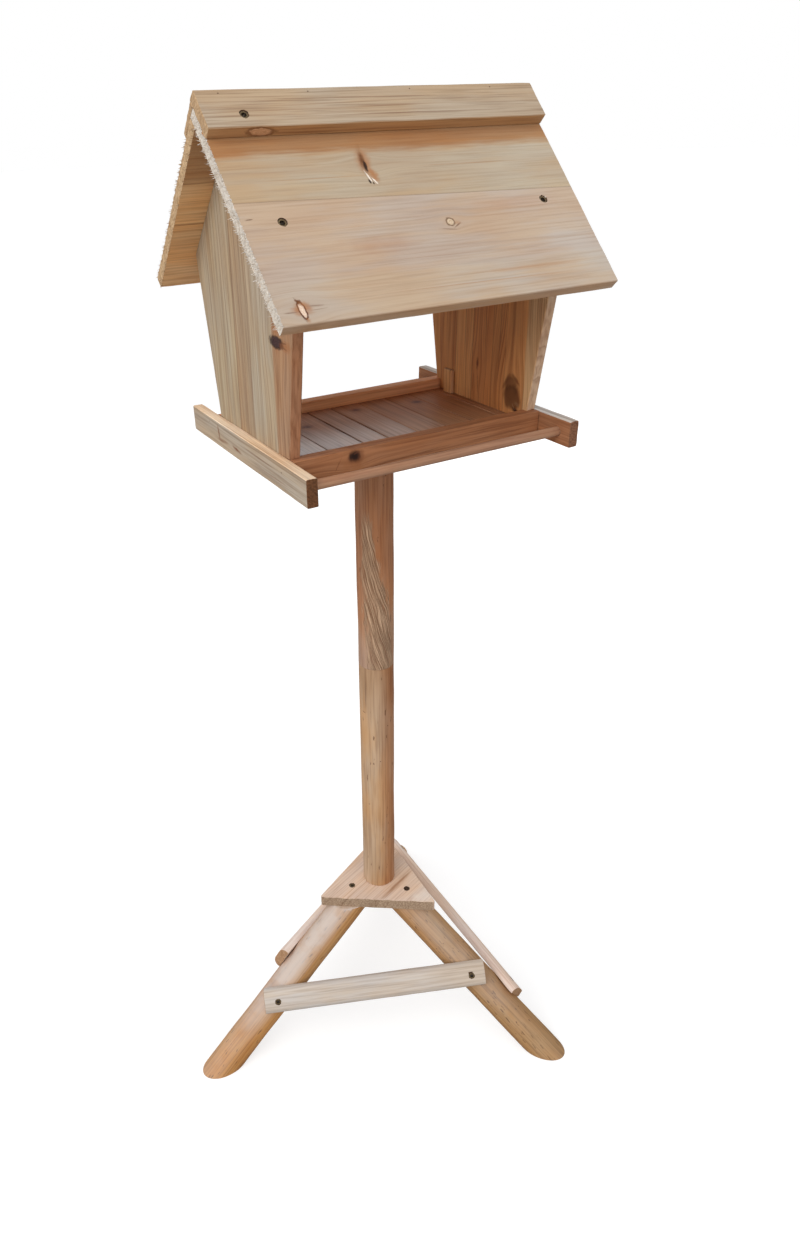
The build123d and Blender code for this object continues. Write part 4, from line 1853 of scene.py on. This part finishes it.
@dataclass
class Tray:
    """The rails, floor boards, bearer and perches."""

    house: House
    groups: WoodGroups
    floor_boards: int = 9
    perch_y: float = 0.125
    perch_drop: float = 0.0145
    rail_cells: Triple = (0.007, 0.004, 0.004)
    sheen_fade: float = 1.4

    def build(self) -> None:
        """Build the rails, then the floor, then the perches."""
        self.build_rails()
        self.build_floor()
        self.build_perches()

    def build_rails(self) -> None:
        """Dress the four rails."""
        house = self.house
        rust, orange = screen(120, 74, 44), screen(158, 100, 60)
        side_dashes = (
            Dash(0.0688, -0.012, 0.013, 0.0034, 80.0, 0.85, rust, 0.0),
            Dash(0.06, -0.019, 0.026, 0.0032, -3.0, 0.7, rust, 0.0),
            Dash(0.0191, -0.0177, 0.017, 0.0026, 5.7, 0.9, rust, 0.1),
            Dash(-0.04, -0.01, 0.06, 0.001, 1.0, 0.45, rust),
            Dash(-0.07, -0.02, 0.05, 0.0012, -1.0, 0.4, rust),
            Dash(-0.0911, -0.0093, 0.001, 0.001, 0.0, 0.9),
            Dash(0.095, -0.006, 0.0008, 0.0008, 0.0, 0.8),
        )
        front_knots = (Knot(-0.082, -0.0065, 0.0056, 1.15, strength=0.0),)
        front_dashes = (
            Dash(-0.082, -0.016, 0.02, 0.011, 0.0, 0.6, orange, 0.0),
            Dash(-0.0805, -0.0072, 0.0125, 0.01, 0.0, 0.85, screen(92, 48, 28), 0.15, ragged=0.5),
            Dash(-0.0822, -0.0066, 0.0088, 0.0072, 0.0, 0.95, screen(38, 22, 18), 0.3, ragged=0.5),
            Dash(-0.08, -0.004, 0.004, 0.001, 20.0, 0.5, screen(112, 66, 44)),
            Dash(-0.01, -0.0228, 0.056, 0.0012, 1.8, 0.85),
            Dash(-0.02, -0.019, 0.07, 0.0009, 3.0, 0.5, rust),
            Dash(0.07, -0.008, 0.06, 0.0009, 0.0, 0.45, rust),
            Dash(0.09, -0.017, 0.05, 0.0016, 1.0, 0.4, rust),
            Dash(-0.1, -0.012, 0.009, 0.0009, 60.0, 0.5, rust),
        )
        rails = (
            ("left_side_rail", (-house.tray_half_x, 0.0), TO_REAR, SIDE_RAIL_WOOD, 5.1, (), side_dashes),
            ("right_side_rail", (house.tray_half_x, 0.0), TO_REAR, RIGHT_RAIL_WOOD, 7.3, (), ()),
            ("front_rail", (0.0, -house.rail_face_y), TO_RIGHT, RAIL_WOOD, 9.6, front_knots, front_dashes),
            ("rear_rail", (0.0, house.rail_face_y), TO_RIGHT, REAR_RAIL_WOOD, 11.2, (), ()),
        )
        for name, (x, y), along, finish, seed, knots, dashes in rails:
            lie = Lie(house.at(x, y, 0.0), along, UP)
            material = WoodCoat(self.groups, finish, lie).build(name + "_wood", seed, knots, dashes)
            dress(name, lie, self.rail_cells, Sawing(seed=seed).shift, material, "rail_wood")

    def build_floor(self) -> None:
        """Coat the floor boards, pale and cool at the left as a painted sheen and brown at the right, darker
        towards the rear as painted shade, and the bearer under them.
        """
        house = self.house
        rust, deep = screen(150, 92, 60), screen(88, 46, 28)
        spots = {3: (0.0303, -0.0715), 5: (0.0558, 0.0040), 7: (0.0433, 0.0800)}
        middle = house.at(0.0, 0.0, house.floor_top - house.rail_top)
        lie = Lie(middle, TO_REAR, TO_RIGHT)
        for number in range(1, self.floor_boards + 1):
            name = f"floor_board_{number}"
            share = (number - 1) / (self.floor_boards - 1)
            finish = self.between(min(1.0, share * self.sheen_fade))
            marks = []
            if number in spots:
                x, y = spots[number]
                marks.append(Dash(x, y, 0.022, 0.015, 0.0, 0.75, rust, 0.0))
                marks.append(Dash(x, y, 0.0085, 0.0095, 0.0, 0.9, deep, 0.0))
            material = WoodCoat(self.groups, finish, lie).build(name + "_wood", 1.9 * number, (), marks)
            coat(name, material)
        low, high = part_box("floor_bearer")
        under = Lie((Vector(low) + Vector(high)) / 2, TO_RIGHT, TO_REAR)
        coat("floor_bearer", WoodCoat(self.groups, RAIL_WOOD, under).build("floor_bearer_wood", 17.0))

    def between(self, share: float) -> WoodFinish:
        """Mix the floor's pale, cool wood, which carries a painted sheen, with its brown wood.

        Args:
            share: How much of the brown one, from 0 to 1.

        Returns:
            The mixed wood.
        """
        parts = {}
        for part in ("pale", "dark", "warm", "far_tint"):
            cool, brown = Vector(getattr(FLOOR_SHEEN_WOOD, part)), Vector(getattr(FLOOR_BROWN, part))
            parts[part] = tuple(cool.lerp(brown, share))
        return replace(FLOOR_SHEEN_WOOD, varnish=FLOOR_SHEEN_WOOD.varnish * (1.0 - share), **parts)

    def build_perches(self) -> None:
        """Coat the two perches."""
        for side, name, seed in ((-1, "front_perch", 2.9), (1, "rear_perch", 5.5)):
            middle = self.house.at(0.0, side * self.perch_y, -self.perch_drop)
            lie = Lie(middle, TO_RIGHT, UP)
            coat(name, WoodCoat(self.groups, PERCH_WOOD, lie).build(name + "_wood", seed))


@dataclass
class Post:
    """The two lengths of the post."""

    groups: WoodGroups
    radius: float = 0.0225
    facing: float = -120.0
    chip_low: float = 0.5275
    chip_high: float = 0.5965
    chip_turn: float = 178.0
    scar_top: float = 0.81
    scar_low: float = 0.598
    scar_turns: Range = (-146.0, -102.0)
    scar_halves: Range = (0.007, 0.021)
    chip_half_turn: float = 24.0
    chip_share: float = 0.8
    chip_edge_turn: float = -160.0
    dot_places: tuple[Range, ...] = ((0.452, 10.0), (0.376, -32.0), (0.305, 24.0), (0.508, 38.0))
    cells: Triple = (0.006, 0.006, 0.006)

    def build(self) -> None:
        """Dress the lower length with its shaved side and the upper with its scar."""
        low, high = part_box("lower_post")
        axis = Vector(((low[0] + high[0]) / 2, (low[1] + high[1]) / 2, 0.0))
        turn = radians(self.facing)
        lie = Lie(axis, UP, level_way(turn))
        start, end = (self.radius * radians(a - self.facing) for a in self.scar_turns)
        scar = Scar(self.scar_top, self.scar_low, start, end, *self.scar_halves)
        dots = [Dash(z, self.radius * radians(a), 0.0012, 0.0009, 0.0, 0.85) for z, a in self.dot_places]
        edge = self.radius * radians(self.chip_edge_turn - self.facing)
        dots.append(Dash(0.555, edge, 0.029, 0.0005, 0.0, 0.8))
        dots.append(Dash(self.chip_low, edge - 0.0045, 0.005, 0.0006, 90.0, 0.8))
        lower = WoodCoat(self.groups, POST_WOOD, lie, self.radius)
        lower_wood = lower.build("lower_post_wood", 3.3, (), dots)
        upper = WoodCoat(self.groups, SHADED_UPPER_POST_WOOD, lie, self.radius)
        upper_wood = upper.build("upper_post_wood", 8.1, scar=scar)
        dress("lower_post", lie, self.cells, self.shave, lower_wood, "post_wood")
        dress("upper_post", lie, self.cells, replace(POST_PEELING, seed=6.4).shift, upper_wood, "post_wood")

    def shave(self, place: Vector, normal: Vector) -> Vector:
        """Give the shift of one point of the lower length, peeled all round and shaved on one side.

        Args:
            place: The point along and across the post.
            normal: The surface normal there.

        Returns:
            The shift.
        """
        peeling = replace(POST_PEELING, seed=1.1)
        shift = peeling.shift(place, normal)
        if self.chip_low < place.x < self.chip_high and not peeling.on_end(normal):
            middle = radians(self.chip_turn - self.facing)
            away = math.atan2(place.z, place.y) - middle
            flat = self.radius * cos(radians(self.chip_half_turn))
            reach = math.hypot(place.y, place.z) * cos(away)
            if reach > flat:
                shift -= Vector((0.0, cos(middle), sin(middle))) * (reach - flat) * self.chip_share
        return shift


@dataclass
class Stand:
    """The plate, the three legs and the three braces."""

    house: House
    groups: WoodGroups
    screws: Screws
    radius: float = 0.0225
    plate_top: float = 0.2225
    plate_bottom: float = 0.2055
    plate_grain: float = 20.0
    plate_cells: Triple = (0.005, 0.005, 0.003)
    leg_centre: Range = (-0.009, 0.0035)
    leg_turns: Triple = (183.5, 303.5, 52.0)
    leg_top_reach: float = 0.038
    leg_foot_reach: float = 0.2705
    leg_cells: Triple = (0.006, 0.006, 0.006)
    brace_thickness: float = 0.0125
    brace_low: Triple = (0.1795, 0.207, 0.177)
    brace_high: Triple = (0.1495, 0.131, 0.124)
    brace_cells: Triple = (0.006, 0.004, 0.004)

    def build(self) -> None:
        """Build the plate, the legs and the braces."""
        self.build_plate()
        self.build_legs()
        self.build_braces()

    def leg_line(self, number: int) -> tuple[Vector, Vector]:
        """Give the top and the foot of one leg's axis."""
        out = level_way(radians(self.leg_turns[number]))
        middle = self.house.middle
        centre = Vector((middle.x + self.leg_centre[0], middle.y + self.leg_centre[1], 0.0))
        top = centre + out * self.leg_top_reach + Vector((0.0, 0.0, self.plate_bottom))
        return top, centre + out * self.leg_foot_reach

    def build_plate(self) -> None:
        """Dress the three-cornered plate and sink its screws."""
        house = self.house
        grain = radians(self.plate_grain)
        middle = Vector((house.middle.x, house.middle.y, self.plate_top))
        lie = Lie(middle, level_way(grain), Vector((-sin(grain), cos(grain), 0.0)))
        brown = screen(150, 104, 70)
        dashes = [
            Dash(0.01, -0.0718, 0.034, 0.02, 0.0, 0.55, screen(234, 226, 216), 0.0),
            Dash(0.002, -0.028, 0.055, 0.005, 0.0, 0.7, brown, 0.1),
            Dash(0.000, -0.005, 0.07, 0.0014, 0.0, 0.35, brown, 0.1),
            Dash(-0.01, 0.016, 0.07, 0.0018, 0.0, 0.35, brown, 0.1),
        ]
        material = WoodCoat(self.groups, PLATE_WOOD, lie).build("stand_plate_wood", 2.7, (), dashes)
        piece = dress("stand_plate", lie, self.plate_cells, Sawing(seed=2.7).shift, material, "plate_wood")
        screws = (
            (-0.0477, 0.0054, ScrewLook.FLUSH),
            (0.018, -0.0401, ScrewLook.HOLE),
            (0.012, 0.043, ScrewLook.FLUSH),
        )
        self.screws.sink(piece, [Spot(middle + Vector((x, y, 0.0)), UP, look) for x, y, look in screws])

    def build_legs(self) -> None:
        """Dress the three peeled legs."""
        legs = (("left_leg", LEFT_LEG_WOOD), ("right_leg", RIGHT_LEG_WOOD), ("rear_leg", LEG_WOOD))
        for number, (name, finish) in enumerate(legs):
            top, foot = self.leg_line(number)
            along = foot - top
            lie = Lie(top, along, along.cross(UP.cross(along)))
            wood = WoodCoat(self.groups, finish, lie, self.radius)
            material = wood.build(name + "_wood", 4.3 + 2.9 * number)
            peeling = replace(LEG_PEELING, seed=3.0 * number)
            dress(name, lie, self.leg_cells, peeling.shift, material, "leg_wood")

    def build_braces(self) -> None:
        """Dress the three braces and sink a screw into each end."""
        braces = (("front_brace", BRACE_WOOD), ("right_brace", PEACH_WOOD), ("left_brace", PEACH_WOOD))
        for number, (name, finish) in enumerate(braces):
            (top_a, foot_a), (top_b, foot_b) = self.leg_line(number), self.leg_line((number + 1) % 3)
            run_a, run_b = (foot_a - top_a).normalized(), (foot_b - top_b).normalized()
            out = run_a.cross(run_b).normalized()
            out = out if out.z > 0.0 else -out
            low = top_a + run_a * self.brace_low[number] + out * self.radius
            high = top_b + run_b * self.brace_high[number] + out * self.radius
            lie = Lie((low + high) / 2, high - low, out.cross(high - low))
            material = WoodCoat(self.groups, finish, lie).build(name + "_wood", 6.0 + 1.7 * number)
            sawing = Sawing(face=0.0002, low_end=0.0005, high_end=0.0005, seed=float(number))
            piece = dress(name, lie, self.brace_cells, sawing.shift, material, "brace_wood")
            face = out * self.brace_thickness
            self.screws.sink(piece, [Spot(low + face, out), Spot(high + face, out, ScrewLook.FLUSH)])


@dataclass
class Studio:
    """The floor, the light and the camera."""

    azimuth: float = -27.68
    elevation: float = 29.753
    roll: float = -2.022
    eye: Triple = (-0.493116, -0.837077, 0.287506)
    focal_pixels: float = 897.34
    centre_pixels: Range = (340.911, 625.191)
    image: tuple[int, int] = (800, 1251)
    sensor: float = 36.0
    floor_radius: float = 30.0
    floor_grey: Colour = (0.48, 0.475, 0.465)
    floor_lift: float = 0.64
    floor_roughness: float = 0.9
    floor_gloss: float = 0.1
    lamp_spot: Triple = (-2.2, -0.8, 2.6)
    lamp_power: float = 34.0
    fill_spot: Triple = (2.0, 2.4, 1.1)
    fill_power: float = 24.0
    lamp_size: float = 2.2
    lamp_white: Colour = (1.0, 0.985, 0.96)
    lamp_aim: Triple = (0.05, 0.0, 0.8)
    sky_low: Colour = (0.95, 0.95, 0.97)
    sky_high: Colour = (1.15, 1.18, 1.23)
    sky_dim: Colour = (0.5, 0.5, 0.5)
    sky_bright: Colour = (1.85, 1.85, 1.85)
    sky_strength: float = 0.62
    sky_rise: Range = (0.0, 0.95)
    bright_way: Range = (-0.72, -0.69)
    bright_rise: Range = (-0.7, 0.95)

    def build(self, house: House) -> None:
        """Set the floor, the light and the camera.

        Args:
            house: Where the tray's middle is.
        """
        self.build_floor()
        self.build_world()
        self.build_lamps()
        self.build_camera(house)
        bpy.context.scene.view_settings.view_transform = "Standard"

    def build_floor(self) -> None:
        """Lay the pale floor, lifted to white for the camera and keeping its shadows."""
        mesh = bmesh.new()
        bmesh.ops.create_circle(mesh, cap_ends=True, segments=96, radius=self.floor_radius)
        material, sheet = make_material("pale_floor")
        shader = sheet.node("ShaderNodeBsdfPrincipled")
        shader.inputs["Base Color"].default_value = (*self.floor_grey, 1.0)
        shader.inputs["Roughness"].default_value = self.floor_roughness
        shader.inputs["Specular IOR Level"].default_value = self.floor_gloss
        glow = sheet.node("ShaderNodeEmission")
        light = sheet.node("ShaderNodeLightPath")
        sheet.feed(glow.inputs["Strength"], sheet.out_of(light, "Is Camera Ray") * self.floor_lift)
        both = sheet.node("ShaderNodeAddShader")
        sheet.feed(both.inputs[0], shader.outputs[0])
        sheet.feed(both.inputs[1], glow.outputs[0])
        sheet.end(both)
        floor = make_object("floor", mesh, material)

    def build_world(self) -> None:
        """Light the scene with a soft sky, brightest overhead and at the left, that shows white."""
        world = bpy.data.worlds.new("soft_sky")
        bpy.context.scene.world = world
        world.use_nodes = True
        world.node_tree.nodes.clear()
        sheet = NodeSheet(world.node_tree)
        x, y, z = sheet.split(sheet.node("ShaderNodeTexCoord").outputs["Generated"])
        sky = sheet.mix(sheet.rise(z, *self.sky_rise), self.sky_low, self.sky_high)
        side = x * self.bright_way[0] + y * self.bright_way[1]
        bright = sheet.mix(sheet.rise(side, *self.bright_rise), self.sky_dim, self.sky_bright)
        soft = sheet.node("ShaderNodeBackground")
        sheet.feed(soft.inputs["Color"], sheet.mix(1.0, sky, bright, "MULTIPLY"))
        soft.inputs["Strength"].default_value = self.sky_strength
        white = sheet.node("ShaderNodeBackground")
        white.inputs["Color"].default_value = (*NEUTRAL, 1.0)
        light = sheet.node("ShaderNodeLightPath")
        both = sheet.node("ShaderNodeMixShader")
        seen = sheet.most(light.outputs["Is Camera Ray"], light.outputs["Is Glossy Ray"])
        sheet.feed(both.inputs[0], seen)
        sheet.feed(both.inputs[1], soft.outputs[0])
        sheet.feed(both.inputs[2], white.outputs[0])
        sheet.end(both, "ShaderNodeOutputWorld")

    def build_lamps(self) -> None:
        """Hang one broad lamp over the left and a low fill behind the right."""
        self.hang("broad_lamp", self.lamp_spot, self.lamp_power)
        self.hang("fill_lamp", self.fill_spot, self.fill_power).visible_glossy = False

    def hang(self, name: str, spot: Triple, power: float) -> Object:
        """Hang one broad round lamp aimed at the middle of the post.

        Args:
            name: The lamp's name.
            spot: Where it hangs.
            power: Its power in watts.

        Returns:
            The hung lamp.
        """
        lamp = bpy.data.lights.new(name, "AREA")
        lamp.shape, lamp.size, lamp.energy = "DISK", self.lamp_size, power
        lamp.color = self.lamp_white
        hung = bpy.data.objects.new(name, lamp)
        hung.location = spot
        aim = Vector(self.lamp_aim) - hung.location
        hung.rotation_euler = aim.to_track_quat("-Z", "Y").to_euler()
        bpy.context.scene.collection.objects.link(hung)
        return hung

    def build_camera(self, house: House) -> None:
        """Stand the camera where the photograph was taken.

        Args:
            house: Where the tray's middle is.
        """
        turn, rise, roll = (radians(a) for a in (self.azimuth, self.elevation, self.roll))
        back = Vector((sin(turn) * cos(rise), -cos(turn) * cos(rise), sin(rise)))
        right = level_way(turn)
        up = back.cross(right)
        rolled = right * cos(roll) + up * sin(roll)
        up = up * cos(roll) - right * sin(roll)
        lens = bpy.data.cameras.new("camera")
        lens.sensor_fit, lens.sensor_height = "VERTICAL", self.sensor
        lens.lens = self.focal_pixels * self.sensor / self.image[1]
        lens.shift_x = (self.image[0] / 2 - self.centre_pixels[0]) / self.image[1]
        lens.shift_y = (self.centre_pixels[1] - self.image[1] / 2) / self.image[1]
        camera = bpy.data.objects.new("camera", lens)
        turned = Matrix((rolled, up, back)).transposed().to_4x4()
        camera.matrix_world = Matrix.Translation(house.at(*self.eye)) @ turned
        bpy.context.scene.collection.objects.link(camera)
        bpy.context.scene.camera = camera


def main() -> None:
    """Build every sub-assembly in order, then the studio."""
    logging.basicConfig(level=logging.INFO, format="%(message)s")
    house = House()
    groups = WoodGroups()
    screws = Screws(groups)
    Roof(house, groups, screws).build()
    Walls(house, groups).build()
    Tray(house, groups).build()
    Post(groups).build()
    Stand(house, groups, screws).build()
    Studio().build(house)


if __name__ == "__main__":
    main()
